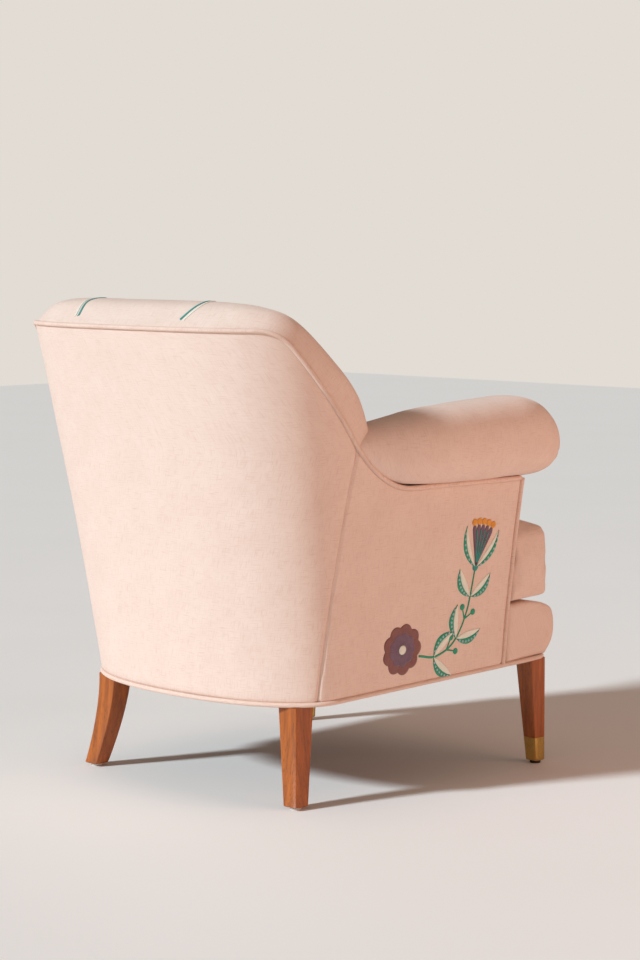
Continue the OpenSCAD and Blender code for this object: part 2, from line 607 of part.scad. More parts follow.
module front_glides() color(black_cloth) for (x = [-1, 1])
    glide([x * (front_leg_xy[0] + front_sweep[0]), front_leg_xy[1] + front_sweep[1]]);

module leg_bolts() color(steel) on_base() for (x = [-1, 1]) for (xy = [back_leg_xy, front_leg_xy])
    translate([x * xy[0], base_y(xy[1]), -36]) cylinder(h = 36 + rail_z + block_h + 9, r = bolt_r, $fn = 32);

module leg_nuts() color(steel) on_base() for (x = [-1, 1]) for (xy = [back_leg_xy, front_leg_xy])
    translate([x * xy[0], base_y(xy[1]), rail_z + block_h]) difference() {
        union() {
            cylinder(h = 1.6, r = 11, $fn = 32);
            cylinder(h = 8, r = 7.5, $fn = 6);
        }
        translate([0, 0, -1]) cylinder(h = 12, r = bolt_r + bolt_gap, $fn = 32);
    }

// ---------- nodes ----------

front_seat_rail();
back_seat_rail();
left(true) seat_rail();  // seat_rail_left
left(false) seat_rail();  // seat_rail_right
corner_blocks();
left(true) back_post();  // back_post_left
left(false) back_post();  // back_post_right
top_back_rail();
lower_back_rail();
top_former();
left(true) arm_post();  // arm_post_left
left(false) arm_post();  // arm_post_right
left(true) arm_board();  // arm_board_left
left(false) arm_board();  // arm_board_right
seat_springs();
spring_clips();
back_webbing();
seat_deck();
dust_cover();
back_pad();
back_edge_roll();
left(true) wing_pad();  // wing_pad_left
left(false) wing_pad();  // wing_pad_right
inside_back_cover();
outside_back_panel();
left(true) outside_arm_panel();  // outside_arm_panel_left
left(false) outside_arm_panel();  // outside_arm_panel_right
left(true) arm_pad();  // arm_pad_left
left(false) arm_pad();  // arm_pad_right
left(true) arm_cover();  // arm_cover_left
left(false) arm_cover();  // arm_cover_right
left(true) inside_arm_pad();  // inside_arm_pad_left
left(false) inside_arm_pad();  // inside_arm_pad_right
left(true) arm_front_panel();  // arm_front_panel_left
left(false) arm_front_panel();  // arm_front_panel_right
front_border_pad();
front_border_cover();
seat_cushion_core();
seat_cushion_cover();
cushion_zip();
zip_slider();
top_welt();
left(true) arm_front_welt();  // arm_front_welt_left
left(false) arm_front_welt();  // arm_front_welt_right
base_welt();
left(true) back_leg();  // back_leg_left
left(false) back_leg();  // back_leg_right
left(true) front_leg();  // front_leg_left
left(false) front_leg();  // front_leg_right
left(true) ferrule();  // ferrule_left
left(false) ferrule();  // ferrule_right
back_glides();
front_glides();
leg_bolts();
leg_nuts();
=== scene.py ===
import json
import math

import bmesh
import bpy
import numpy as np
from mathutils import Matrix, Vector, geometry, noise
from mathutils.bvhtree import BVHTree


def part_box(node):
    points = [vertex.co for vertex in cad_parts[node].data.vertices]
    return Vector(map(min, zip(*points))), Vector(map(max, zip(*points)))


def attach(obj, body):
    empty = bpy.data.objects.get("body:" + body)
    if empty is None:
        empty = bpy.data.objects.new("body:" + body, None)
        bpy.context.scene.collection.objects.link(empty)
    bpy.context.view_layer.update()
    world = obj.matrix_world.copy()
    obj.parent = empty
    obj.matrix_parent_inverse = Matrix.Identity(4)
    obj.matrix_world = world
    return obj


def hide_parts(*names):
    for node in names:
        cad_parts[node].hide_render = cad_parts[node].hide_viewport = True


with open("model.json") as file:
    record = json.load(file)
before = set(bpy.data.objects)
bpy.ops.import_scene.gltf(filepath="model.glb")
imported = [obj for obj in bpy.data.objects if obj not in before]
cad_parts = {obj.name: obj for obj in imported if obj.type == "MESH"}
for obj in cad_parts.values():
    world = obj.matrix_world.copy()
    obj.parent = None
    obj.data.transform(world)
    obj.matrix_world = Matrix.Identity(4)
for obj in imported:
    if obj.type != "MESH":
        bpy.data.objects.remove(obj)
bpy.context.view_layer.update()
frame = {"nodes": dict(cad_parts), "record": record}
MM = 0.001
SIDES = {"left": 1, "right": -1}

# ---------- driving sizes, the same as the frame's ----------

BACK_H, ARM_H, LEG_H = 0.779, 0.655, 0.162
BASE_W, BACK_RAKE, BACK_WIDEN, CORNER_D = 0.552, 0.108, 0.060, 0.121
SIDE_FLARE, SEAT_PITCH = math.radians(3.15), math.radians(2.4)
ROLL_H, ROLL_W, NOSE_D, BORDER_D = 0.139, 0.142, 0.107, 0.141
EAR_W, CUSHION_W, DECK_H = 0.600, 0.452, 0.1075
BACK_LEG_TOP, BACK_LEG_FOOT, SWEEP = 0.044, 0.031, 0.024
FRONT_LEG_TOP, FRONT_LEG_FOOT, FERRULE_H = 0.040, 0.025, 0.042
GLIDE_H, WELT_R = 0.005, 0.004

REAR_Y = 0.3725                     # middle of the piping at the back
FRONT_Y = -0.3765                   # front of the front border
CHAIR_W = 0.742
BASE_REAR = REAR_Y - BACK_RAKE      # back edge of the seat frame
JOIN_Y = BASE_REAR - CORNER_D       # where the rounded corners meet the straight sides
FLARE = math.tan(SIDE_FLARE)
ARM_Z = ARM_H - ROLL_H              # top of the arm boards
WELT_LOW = ARM_Z - WELT_R + 0.002   # the piping under the arm rolls, pressed up into their padding
EDGE_Y = FRONT_Y + BORDER_D         # foot of the outside arms' front edges
EDGE_LEAN = 0.012
EDGE_RISE = 0.028                   # where the front edges start to lean, above the underside
NOSE_Y = EDGE_Y - EDGE_LEAN - NOSE_D  # tip of the arm noses
BORDER_DROP = 0.019
BORDER_TOP = LEG_H + 0.128
WING_RUN = 0.220
WING_SLOPE = (BACK_H - ARM_Z) / WING_RUN
WING_FOOT = JOIN_Y - 0.062
SEAM_FOOT = JOIN_Y + 0.040
SEAM_SWEEP = 0.042
SEAM_H = 0.414
SEAM_RISE = 0.008
SEAM_TOP = LEG_H + SEAM_RISE + SEAM_H
COVER_FOOT = 0.004                  # the covers end this far above the underside
ARM_GAP = 0.005                     # between the cushion and the arms
INNER_X = CUSHION_W / 2 + ARM_GAP   # inside face of the arms
ROLL_X = CHAIR_W / 2 - ROLL_W / 2
ROLL_TAIL = WING_FOOT
BACK_FACE = REAR_Y - 0.249
CUSHION_REAR = BACK_FACE - 0.012
CUSHION_FRONT = FRONT_Y + 0.004
EAR_REAR = EDGE_Y - EDGE_LEAN - 0.006
LEAN_POWER = 1.1                    # how the back's lean grows with height
CORNER_POWER, CORNER_GROWTH = 2.15, 0.95    # the back's corners, squarer towards the top
WELT_SWEEP, WELT_TURN = 0.084, 0.028        # reach of the piping's curves at the wing's foot and head

# ---------- shape of the shell ----------


def base_z(y):
    """Height of the seat frame's underside, which rises towards the front."""
    return LEG_H + math.tan(SEAT_PITCH) * (BASE_REAR - y)


def joined(x, y, z):
    """Points from arrays, or single values, of x, y and z."""
    return np.stack(np.broadcast_arrays(x, y, z), -1)


def level(z):
    """Share of the way from the underside to the top of the back."""
    return np.maximum(0, (z - LEG_H) / (BACK_H - LEG_H))


def half_w(z):
    """Half the back's width at a height."""
    return BASE_W / 2 + BACK_WIDEN * level(z) ** LEAN_POWER


def rear(z):
    """Depth of the middle of the back at a height."""
    return BASE_REAR + BACK_RAKE * level(z) ** LEAN_POWER


def power(z):
    """How square the back's plan is at a height; 2 is an ellipse."""
    return CORNER_POWER + CORNER_GROWTH * level(z)


def side_x(y, z):
    """Half the shell's width at a depth and height."""
    share = np.clip((y - JOIN_Y) / (rear(z) - JOIN_Y), 0, 1)
    rounded = half_w(z) * (1 - share ** power(z)) ** (1 / power(z))
    return np.where(y > JOIN_Y, rounded, half_w(z) + FLARE * (JOIN_Y - y))


def shell(turn, z):
    """The rounded back; turn runs from minus to plus a quarter circle, right to left."""
    x = np.sign(turn) * half_w(z) * np.abs(np.sin(turn)) ** (2 / power(z))
    y = JOIN_Y + (rear(z) - JOIN_Y) * np.abs(np.cos(turn)) ** (2 / power(z))
    return joined(x, y, z)


def turn_at(y, z):
    """The turn at which the rounded back reaches a depth."""
    share = np.clip((y - JOIN_Y) / (rear(z) - JOIN_Y), 0, 1)
    return np.arccos(share ** (power(z) / 2))


def soft_max(a, b, k):
    """The larger of two values, with a smooth change from one to the other over a reach k."""
    return np.maximum(a, b) + (np.maximum(k - np.abs(a - b), 0) / k) ** 2 * k / 4


def welt_z(y):
    """Height of the piping: level over the arm, sloping up the wing, level along the top."""
    slope = soft_max(WELT_LOW, WELT_LOW + WING_SLOPE * (y - WING_FOOT), WELT_SWEEP)
    return -soft_max(-BACK_H, -slope, WELT_TURN)


def welt_y(z):
    """Depth at which the piping of the wing reaches a height."""
    low, high = np.full_like(z, WING_FOOT), np.full_like(z, REAR_Y)
    for _ in range(40):
        middle = (low + high) / 2
        under = welt_z(middle) < z - 1e-7
        low, high = np.where(under, middle, low), np.where(under, high, middle)
    return low


def seam_y(z):
    """Depth of the seam between the outside back and an outside arm."""
    return SEAM_FOOT - SEAM_SWEEP * ((z - LEG_H - SEAM_RISE) / SEAM_H) ** 2


def arm_edge_y(z):
    """Depth of an outside arm's front edge."""
    foot = LEG_H + EDGE_RISE
    return EDGE_Y - EDGE_LEAN * (np.maximum(0, z - foot) / (ARM_Z - foot)) ** 2


def on_base(x, y, z):
    """A point given in the tilted plane of the seat frame."""
    c, s = math.cos(SEAT_PITCH), math.sin(SEAT_PITCH)
    return joined(x, BASE_REAR + y * c + z * s, LEG_H - y * s + z * c)


def base_y(y):
    """A depth, as a distance in the tilted plane of the seat frame."""
    return (y - BASE_REAR) / math.cos(SEAT_PITCH)


def curve(points, t):
    """A smooth curve through the points; t runs from 0 to 1."""
    p = np.asarray(points, float)
    n = len(p) - 1
    s = np.clip(np.asarray(t, float) * n, 0, n - 1e-9)
    i = np.floor(s).astype(int)
    wide = s.shape + (1,) * (p.ndim - 1)
    f = (s - i).reshape(wide)
    a, b = p[i], p[i + 1]
    before = np.where((i > 0).reshape(wide), p[np.maximum(i - 1, 0)], 2 * a - b)
    after = np.where((i < n - 1).reshape(wide), p[np.minimum(i + 2, n)], 2 * b - a)
    return (a + f * (b - before) / 2 + f ** 2 * (2 * before - 5 * a + 4 * b - after) / 2
            + f ** 3 * (3 * a - before - 3 * b + after) / 2)


def eased(n, ends=0.75):
    """Shares from 0 to 1 that lie closer together at both ends."""
    s = np.linspace(0, 1, n)
    return (1 - ends) * s + ends * (0.5 - 0.5 * np.cos(np.pi * s))


# ---------- materials ----------


def colour(code):
    """Linear colour from an sRGB hex value."""
    parts = [int(code[i:i + 2], 16) / 255 for i in (1, 3, 5)]
    return [v / 12.92 if v < 0.04045 else ((v + 0.055) / 1.055) ** 2.4 for v in parts] + [1]


def add(tree, kind, inputs=None, **settings):
    """Adds a node with its settings, and values or links for its sockets."""
    node = tree.nodes.new("ShaderNode" + kind)
    for key, value in settings.items():
        setattr(node, key, value)
    for socket, value in (inputs or {}).items():
        if isinstance(value, bpy.types.NodeSocket):
            tree.links.new(value, node.inputs[socket])
        else:
            node.inputs[socket].default_value = value
    return node


def new_material(name, **settings):
    """A material with only its surface shader; returns it with its tree and shader."""
    material = bpy.data.materials.new(name)
    material.use_nodes = True
    tree = material.node_tree
    surface = tree.nodes["Principled BSDF"]
    for socket, value in settings.items():
        surface.inputs[socket.replace("_", " ")].default_value = value
    return material, tree, surface


def dress(tree, surface, base, height, strength, depth):
    """Gives a material's shader its colour and its relief."""
    relief = add(tree, "Bump", {"Height": height, "Strength": strength, "Distance": depth})
    tree.links.new(base, surface.inputs["Base Color"])
    tree.links.new(relief.outputs[0], surface.inputs["Normal"])


def mottled(tree, vector, light, dark, size):
    """Two colours mixed in patches of a size; returns the colour and the patches' strength."""
    patches = add(tree, "TexNoise", {"Vector": vector, "Scale": 1 / size, "Detail": 4})
    mix = add(tree, "Mix", {0: patches.outputs[0], 6: colour(light), 7: colour(dark)}, data_type="RGBA")
    return mix.outputs[2], patches.outputs[0]


def linen(name="blush_linen", light="#EFD3C3", dark="#E4C4B3", slub="#DAB4A1"):
    """Plain-woven linen: thick and thin threads make short streaks both ways, and the cloth is matt.
    The threads are 0.5 mm apart; they are drawn at 1.5 mm, because finer ones don't show."""
    material, tree, surface = new_material(name, Roughness=0.93, Sheen_Weight=0.25, Sheen_Roughness=0.5)
    surface.inputs["Sheen Tint"].default_value = colour("#FFE9DC")
    cloth = add(tree, "TexCoord").outputs["UV"]
    thread = 1.5 * MM
    streaks = []
    for along in ((1, 14, 1), (14, 1, 1)):
        stretched = add(tree, "Mapping", {"Vector": cloth, "Scale": [a / (14 * thread) for a in along]})
        streak = add(tree, "TexNoise", {"Vector": stretched.outputs[0], "Scale": 1, "Detail": 3,
                                        "Roughness": 0.6})
        streaks.append(streak.outputs[0])
    both = add(tree, "Math", {0: streaks[0], 1: streaks[1]}, operation="MAXIMUM")
    slubs = add(tree, "MapRange", {0: both.outputs[0], 1: 0.52, 2: 0.78})
    base, _ = mottled(tree, cloth, light, dark, 60 * MM)
    mix = add(tree, "Mix", {0: slubs.outputs[0], 6: base, 7: colour(slub)}, data_type="RGBA")
    weave = []
    for axis in ("X", "Y"):
        band = add(tree, "TexWave", {"Vector": cloth, "Scale": 1 / (20 * thread) * 2 * math.pi,
                                     "Distortion": 0.6, "Detail": 1, "Detail Scale": 2}, bands_direction=axis)
        weave.append(band.outputs["Fac"])
    crossing = add(tree, "Math", {0: weave[0], 1: weave[1]}, operation="MULTIPLY")
    height = add(tree, "Math", {0: crossing.outputs[0], 1: slubs.outputs[0]}, operation="ADD")
    dress(tree, surface, mix.outputs[2], height.outputs[0], 0.35, 0.25 * MM)
    return material


def thread(name, light, dark):
    """Embroidery floss in satin stitch: parallel strands with a soft shine along them.
    The strands are 0.4 mm wide; they are drawn at 1.2 mm, because finer ones don't show."""
    material, tree, surface = new_material(name, Roughness=0.62, Sheen_Weight=0.3)
    floss = add(tree, "TexCoord").outputs["UV"]
    strand = 1.2 * MM
    rows = add(tree, "TexWave", {"Vector": floss, "Scale": 2 * math.pi / (20 * strand), "Distortion": 1.2,
                                 "Detail": 2, "Detail Scale": 1.5}, bands_direction="X")
    patches = add(tree, "TexNoise", {"Vector": floss, "Scale": 1 / (9 * MM), "Detail": 3})
    # the colour follows the strand rows: painted shade darkens the gaps between strands and painted highlight
    # lightens their crowns, mixed with random patches of the floss's own tone
    tone = add(tree, "Math", {0: rows.outputs["Fac"], 1: patches.outputs[0]}, operation="MULTIPLY")
    shade = add(tree, "MapRange", {0: tone.outputs[0], 1: 0.05, 2: 0.55})
    mix = add(tree, "Mix", {0: shade.outputs[0], 6: colour(dark), 7: colour(light)}, data_type="RGBA")
    dress(tree, surface, mix.outputs[2], rows.outputs["Fac"], 0.7, 0.4 * MM)
    return material


def oiled_wood(name, light, dark, pore, rough, shine):
    """Planed timber: long fine grain down its length, with darker pores."""
    material, tree, surface = new_material(name, Roughness=rough, Coat_Weight=shine, Coat_Roughness=0.25)
    place = add(tree, "TexCoord").outputs["Object"]
    grain_width = 2.5 * MM
    along = add(tree, "Mapping", {"Vector": place, "Scale": (1, 1, 0.06)})
    grain = add(tree, "TexNoise", {"Vector": along.outputs[0], "Scale": 1 / (4 * grain_width), "Detail": 6,
                                   "Roughness": 0.65, "Distortion": 0.4})
    rings = add(tree, "MapRange", {0: grain.outputs[0], 1: 0.36, 2: 0.66})
    wood = add(tree, "Mix", {0: rings.outputs[0], 6: colour(light), 7: colour(dark)}, data_type="RGBA")
    fine = add(tree, "Mapping", {"Vector": place, "Scale": (1, 1, 0.03)})
    pores = add(tree, "TexNoise", {"Vector": fine.outputs[0], "Scale": 1 / (1.2 * MM), "Detail": 2})
    open_pores = add(tree, "MapRange", {0: pores.outputs[0], 1: 0.58, 2: 0.72})
    mix = add(tree, "Mix", {0: open_pores.outputs[0], 6: wood.outputs[2], 7: colour(pore)},
              data_type="RGBA")
    dress(tree, surface, mix.outputs[2], open_pores.outputs[0], 0.25, -0.15 * MM)
    return material


def metal(name, tone, worn, rough):
    """Brushed or drawn metal: fine lines along it, and a little tarnish in patches."""
    material, tree, surface = new_material(name, Metallic=1, Roughness=rough)
    place = add(tree, "TexCoord").outputs["Object"]
    tarnish, _ = mottled(tree, place, tone, worn, 12 * MM)
    tree.links.new(tarnish, surface.inputs["Base Color"])
    lines = add(tree, "Mapping", {"Vector": place, "Scale": (1, 1, 0.05)})
    scratches = add(tree, "TexNoise", {"Vector": lines.outputs[0], "Scale": 1 / (0.8 * MM), "Detail": 2})
    rough_range = add(tree, "MapRange", {0: scratches.outputs[0], 1: 0.3, 2: 0.7,
                                         3: rough * 0.75, 4: rough * 1.35})
    tree.links.new(rough_range.outputs[0], surface.inputs["Roughness"])
    return material


def pressed(name, light, dark, size, rough, **settings):
    """A moulded, foamed or felted stuff: patches and grains of one size, with no direction."""
    material, tree, surface = new_material(name, Roughness=rough, **settings)
    place = add(tree, "TexCoord").outputs["Object"]
    tone, grains = mottled(tree, place, light, dark, size)
    dress(tree, surface, tone, grains, 0.4, 0.3 * MM)
    return material


# Linen is matt, with a faint bloom at grazing angles. The piping is cut on the bias; its copy of the linen is
# darker, as painted shade of the creases along the piping.
blush_linen = linen()
shaded_piping_linen = linen("bias_linen_painted_shade", "#EDCFBE", "#DFBBA8", "#CFA38E")
# Oil leaves a low shine over the legs' grain; the hidden frame is sanded and left raw.
leg_beech = oiled_wood("walnut_oiled_beech", "#B55C12", "#8C430A", "#663008", 0.45, 0.1)
frame_beech = oiled_wood("raw_beech", "#DDBB8C", "#C99F6C", "#B58A58", 0.7, 0)
# Brass is lacquered and fine brushed, spring wire is drawn and grey, and nickel is bright.
ferrule_brass = metal("brushed_brass", "#D9B26A", "#B98F4C", 0.3)
drawn_steel = metal("drawn_spring_steel", "#9A9DA0", "#6F7275", 0.38)
zip_nickel = metal("nickelled_zinc", "#C9CACB", "#9FA1A3", 0.28)
# Foam is pale and open celled, nylon has a soft gloss, and cambric, jute and cotton tape are dull.
foam = pressed("polyurethane_foam", "#F2EACD", "#E2D6B0", 1.6 * MM, 0.95)
clear_nylon = pressed("natural_nylon", "#ECEBE4", "#DDDBD2", 5 * MM, 0.35, Transmission_Weight=0.25)
dark_nylon = pressed("black_nylon", "#232325", "#19191B", 5 * MM, 0.4)
black_cambric = pressed("black_cambric", "#2B2B2F", "#1D1D20", 1.2 * MM, 0.95)
jute = pressed("jute_webbing", "#BFA274", "#9C7F52", 2.2 * MM, 0.9)
zip_cotton = pressed("cotton_zip_tape", "#E6C8B4", "#D4AF98", 1.2 * MM, 0.9)
# each floss's light colour is painted highlight on the strands' crowns and its dark colour is painted shade
# between them, over random patches of its own tone
FLOSS = {
    "emerald": thread("emerald_floss", "#12B488", "#068A66"),
    "cream": thread("cream_floss", "#FFFDF2", "#EDE6CE"),
    "mauve": thread("mauve_floss", "#8A6576", "#64475A"),
    "russet": thread("russet_floss", "#9A5F54", "#77433D"),
    "orange": thread("orange_floss", "#FFAA1E", "#E28D0C"),
    "teal": thread("teal_floss", "#35AFA0", "#1F7F76"),
    "mist": thread("mist_floss", "#C3D6DE", "#9FB6C2"),
}
FINISH = {
    "linen": blush_linen, "piping": shaded_piping_linen, "padding": foam, "frame_wood": frame_beech,
    "leg_wood": leg_beech, "spring_steel": drawn_steel, "brass": ferrule_brass, "clear_nylon": clear_nylon,
    "dark_nylon": dark_nylon, "black_cloth": black_cambric, "webbing": jute, "zip_tape": zip_cotton,
    "zip_metal": zip_nickel,
}
for part in frame["record"]["subparts"]:
    for spot in frame["nodes"][part["node"]].material_slots:
        spot.material = FINISH[part["material_slot"]]

# ---------- meshes ----------


def lengths(grid, axis):
    """Distance run along a grid, from its first row or column."""
    steps = np.linalg.norm(np.diff(grid, axis=axis), axis=2)
    start = np.zeros_like(np.take(steps, [0], axis=axis))
    return np.cumsum(np.concatenate([start, steps], axis), axis)


def grid_faces(rows, cols, loop=False, start=0):
    """Quads between neighbouring points of a grid; a looped grid joins its last column to its first."""
    return [[start + i * cols + j, start + i * cols + (j + 1) % cols,
             start + (i + 1) * cols + (j + 1) % cols, start + (i + 1) * cols + j]
            for i in range(rows - 1) for j in range(cols if loop else cols - 1)]


def build(name, verts, faces, uvs, material):
    """A mesh object from points, faces and one UV for each face corner, in metres of cloth."""
    mesh = bpy.data.meshes.new(name)
    mesh.from_pydata([tuple(v) for v in verts], [], faces)
    layer = mesh.uv_layers.new(name="cloth")
    layer.data.foreach_set("uv", np.asarray(uvs, float).ravel())
    mesh.polygons.foreach_set("use_smooth", [True] * len(mesh.polygons))
    mesh.materials.append(material)
    mesh.update()
    piece = bpy.data.objects.new(name, mesh)
    bpy.context.scene.collection.objects.link(piece)
    return piece


def sheet(name, grid, material, behind=None, thick=2.5 * MM, loop=False):
    """Cloth through a grid of points. behind is a point on its hidden side."""
    rows, cols = grid.shape[:2]
    wrapped = np.concatenate([grid, grid[:, :1]], 1) if loop else grid
    u, v = lengths(wrapped, 1), lengths(wrapped, 0)
    faces = grid_faces(rows, cols, loop)
    quads = [(i, j) for i in range(rows - 1) for j in range(cols if loop else cols - 1)]
    corners = [(i + a, j + b) for i, j in quads for a, b in ((0, 0), (0, 1), (1, 1), (1, 0))]
    uvs = [(u[spot], v[spot]) for spot in corners]
    piece = build(name, grid.reshape(-1, 3), faces, uvs, material)
    if behind is not None:
        facing = sum((Vector(behind) - f.center).dot(f.normal) * f.area for f in piece.data.polygons)
        if facing > 0:
            piece.data.flip_normals()
    if thick:
        backing = piece.modifiers.new("thickness", "SOLIDIFY")
        backing.thickness = thick
        backing.offset = -1
    return piece


def normals(grid):
    """Unit normals of a grid of points."""
    n = np.cross(np.gradient(grid, axis=1), np.gradient(grid, axis=0))
    return n / np.maximum(np.linalg.norm(n, axis=2, keepdims=True), 1e-12)


def wander(points, size, seed=0.0):
    """A smooth random value from -1 to 1 at each point, with waves of a size."""
    flat = points.reshape(-1, 3) / size + seed
    return np.array([noise.noise(Vector(p)) for p in flat]).reshape(points.shape[:-1])


TUCK_REACH = 5 * MM                 # how far from a seam the cloth turns in


def settle(grid, outwards, edges, soft=0.8 * MM, tuck=3.2 * MM):
    """Cloth relaxes in long low waves and turns in at the edges named: low, high, first, last."""
    n = normals(grid)
    if (n * outwards).sum() < 0:
        n = -n
    wave = soft * wander(grid, 0.11) + 0.3 * soft * wander(grid, 0.03, 5.0)
    u, v = lengths(grid, 1), lengths(grid, 0)
    away = {"first": u, "last": u[:, -1:] - u, "low": v, "high": v[-1:] - v}
    inside = np.ones(grid.shape[:2])
    for side, amount in edges.items():
        distance = np.abs(away[side])
        wave = wave - amount * tuck * np.exp(-(distance / TUCK_REACH) ** 2)
        inside = inside * np.clip(distance / 0.03, 0, 1)
    ripple = wave * np.where(wave > -0.5 * tuck, np.maximum(inside, 0.15), 1)
    return grid + n * ripple[..., None]


def tube(name, path, radius, material, sides=12, loop=False):
    """A round cord along a path."""
    path = np.asarray(path, float)
    if loop:
        ahead, back = np.roll(path, -1, 0), np.roll(path, 1, 0)
    else:
        ahead, back = np.vstack([path[1:], path[-1:]]), np.vstack([path[:1], path[:-1]])
    run = ahead - back
    run /= np.linalg.norm(run, axis=1, keepdims=True)
    up = np.where(np.abs(run[:, 2:]) > 0.9, (1.0, 0, 0), (0, 0, 1.0))
    a = np.cross(up, run)
    a /= np.linalg.norm(a, axis=1, keepdims=True)
    b = np.cross(run, a)
    angle = np.linspace(0, 2 * np.pi, sides, endpoint=False)[None, :, None]
    swell = (radius * (1 + 0.04 * wander(path, 0.02, 9.0)))[:, None, None]
    rings = path[:, None] + swell * (np.cos(angle) * a[:, None] + np.sin(angle) * b[:, None])
    if loop:
        rings = np.concatenate([rings, rings[:1]])
    else:
        first, last = (np.repeat(end[None], sides, 1) for end in (path[:1], path[-1:]))
        rings = np.concatenate([first, rings, last])
    piece = sheet(name, rings, material, thick=0, loop=True)
    weld(piece)
    return piece


def weld(piece):
    """Joins points that coincide and turns all faces outwards."""
    edit = bmesh.new()
    edit.from_mesh(piece.data)
    bmesh.ops.remove_doubles(edit, verts=edit.verts, dist=1e-6)
    bmesh.ops.recalc_face_normals(edit, faces=edit.faces)
    edit.to_mesh(piece.data)
    edit.free()


def evenly(path, step):
    """The same path with points a step apart."""
    path = np.asarray(path, float)
    run = np.concatenate([[0], np.cumsum(np.linalg.norm(np.diff(path, axis=0), axis=1))])
    at = np.linspace(0, run[-1], max(2, int(run[-1] / step) + 1))
    return np.stack([np.interp(at, run, path[:, i]) for i in range(path.shape[1])], 1)


def put(piece, slot, *nodes, body="chair"):
    """Places a finished piece on its body, instead of the frame's plain nodes; its slot is not used."""
    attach(piece, body)
    if nodes:
        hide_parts(*nodes)
    return piece


# ---------- outside panels ----------

PANEL_EDGES = {"first": 0.8, "last": 0.8, "low": 1, "high": 1}
CURVED_FROM = 0.7                   # share of the back's height above which its rows lie closer together


def outside_back_cloth():
    """The back's cloth between its two side seams, up to the piping."""
    upper = CURVED_FROM + (1 - CURVED_FROM) * (1 - (1 - np.linspace(0, 1, 50)) ** 1.7)
    rows = np.concatenate([np.linspace(0, CURVED_FROM, 45)[:-1], upper])
    z = (LEG_H + COVER_FOOT + (BACK_H - LEG_H - COVER_FOOT) * rows)[:, None]
    edge = np.where(z > SEAM_TOP, welt_y(z), seam_y(z))
    grid = shell(turn_at(edge, z) * (2 * eased(121) - 1)[None], z)
    grid[..., 2] = np.maximum(grid[..., 2], base_z(grid[..., 1]) + COVER_FOOT)
    return settle(grid, (0, 1, 0), PANEL_EDGES)


def outside_arm_cloth(side):
    """An arm's outside cloth: from its front edge to the back's seam, from the seat frame to the piping."""
    up, along = np.meshgrid(eased(70), eased(80), indexing="ij")
    z = LEG_H + (ARM_Z - LEG_H) * up
    for _ in range(8):
        y = arm_edge_y(z) - 0.001 + (seam_y(z) - arm_edge_y(z) + 0.001) * along
        low = base_z(y) + COVER_FOOT
        z = low + (welt_z(y) - low) * up
    return settle(joined(side * side_x(y, z), y, z), (side, 0, 0), PANEL_EDGES, soft=0.6 * MM)


outside_back = sheet("outside_back_linen", outside_back_cloth(), blush_linen, behind=(0, 0, 0.45))
put(outside_back, "linen", "outside_back_panel")
outside_arm = {}
for name, side in SIDES.items():
    outside_arm[name] = sheet(f"outside_arm_linen_{name}", outside_arm_cloth(side), blush_linen,
                              behind=(0, -0.1, 0.35))
    put(outside_arm[name], "linen", f"outside_arm_panel_{name}")

# ---------- inside back ----------

# Each station gives its points from the piping to the seat: share of the half width, distance in front
# of the piping at the back, and share of the way down from the back's height to the arm boards.
STATIONS = [
    [[0, 0, 0], [0, 47, -0.146], [0, 99, -0.139], [0, 151, 0.07], [0, 209, 0.67]],
    [[0.446, 6, 0], [0.44, 53, -0.146], [0.43, 105, -0.135], [0.417, 155, 0.08], [0.402, 213, 0.67]],
    [[0.744, 34, 0], [0.714, 72, -0.127], [0.68, 115, -0.109], [0.62, 165, 0.1], [0.565, 227, 0.67]],
    [[0.893, 80, 0.064], [0.857, 109, -0.049], [0.81, 139, -0.026], [0.729, 177, 0.139], [0.64, 242, 0.67]],
    [[0.943, 132, 0.277], [0.917, 179, 0.213], [0.857, 197, 0.191], [0.78, 205, 0.296], [0.69, 259, 0.708]],
    [[0.952, 177, 0.491], [0.923, 231, 0.416], [0.869, 247, 0.416], [0.804, 249, 0.483], [0.702, 275, 0.783]],
    [[0.94, 237, 0.757], [0.911, 269, 0.685], [0.863, 279, 0.67], [0.81, 279, 0.727], [0.714, 285, 0.895]]]
TUCK_X = [0, 0.55, 0.8, 0.88, 0.935, 0.965, 0.98]
TUCK_Y = [2, 1, 0, 0, -1, -3, -5]
TUCK_Z = LEG_H + 0.138

stations = np.array(STATIONS, float)
lines = np.stack([stations[..., 0] * (BASE_W / 2 + BACK_WIDEN), REAR_Y - stations[..., 1] * MM,
                  BACK_H - stations[..., 2] * (BACK_H - ARM_Z)], -1)
tucks = joined(np.array(TUCK_X) * INNER_X, BACK_FACE + np.array(TUCK_Y) * MM, TUCK_Z)
lines = np.concatenate([lines, tucks[:, None]], 1)

# the piping of one half, from the middle of the back down the wing and over the arm to its front
welt_head = WING_FOOT + WING_RUN + 0.022
head_turns = np.linspace(0, 1, 60)[:-1] * turn_at(welt_head, BACK_H)
arm_run = np.linspace(welt_head, EDGE_Y - EDGE_LEAN + 0.003, 160)
half_welt = np.vstack([shell(head_turns, np.full(59, BACK_H)),
                       joined(side_x(arm_run, welt_z(arm_run)), arm_run, welt_z(arm_run))])

across = np.linspace(0, 1, 61)
controls = np.stack([curve(lines[:, k], across) for k in range(6)])
nearest = np.linalg.norm(controls[0][:, None] - half_welt[None], axis=2).argmin(1)
controls[0] = half_welt[nearest] + (0, -0.001, 0.001)
cover_half = curve(controls, eased(80, 0.4))
inside_back_grid = np.concatenate([cover_half[:, :0:-1] * (-1, 1, 1), cover_half], 1)
inside_back_grid = settle(inside_back_grid, (0, -1, 0.3), {"low": 1.2}, soft=1.3 * MM, tuck=2.2 * MM)
inside_back = sheet("inside_back_linen", inside_back_grid, blush_linen, behind=(0, 0.24, 0.55))
put(inside_back, "linen", "inside_back_cover")

# ---------- arms ----------

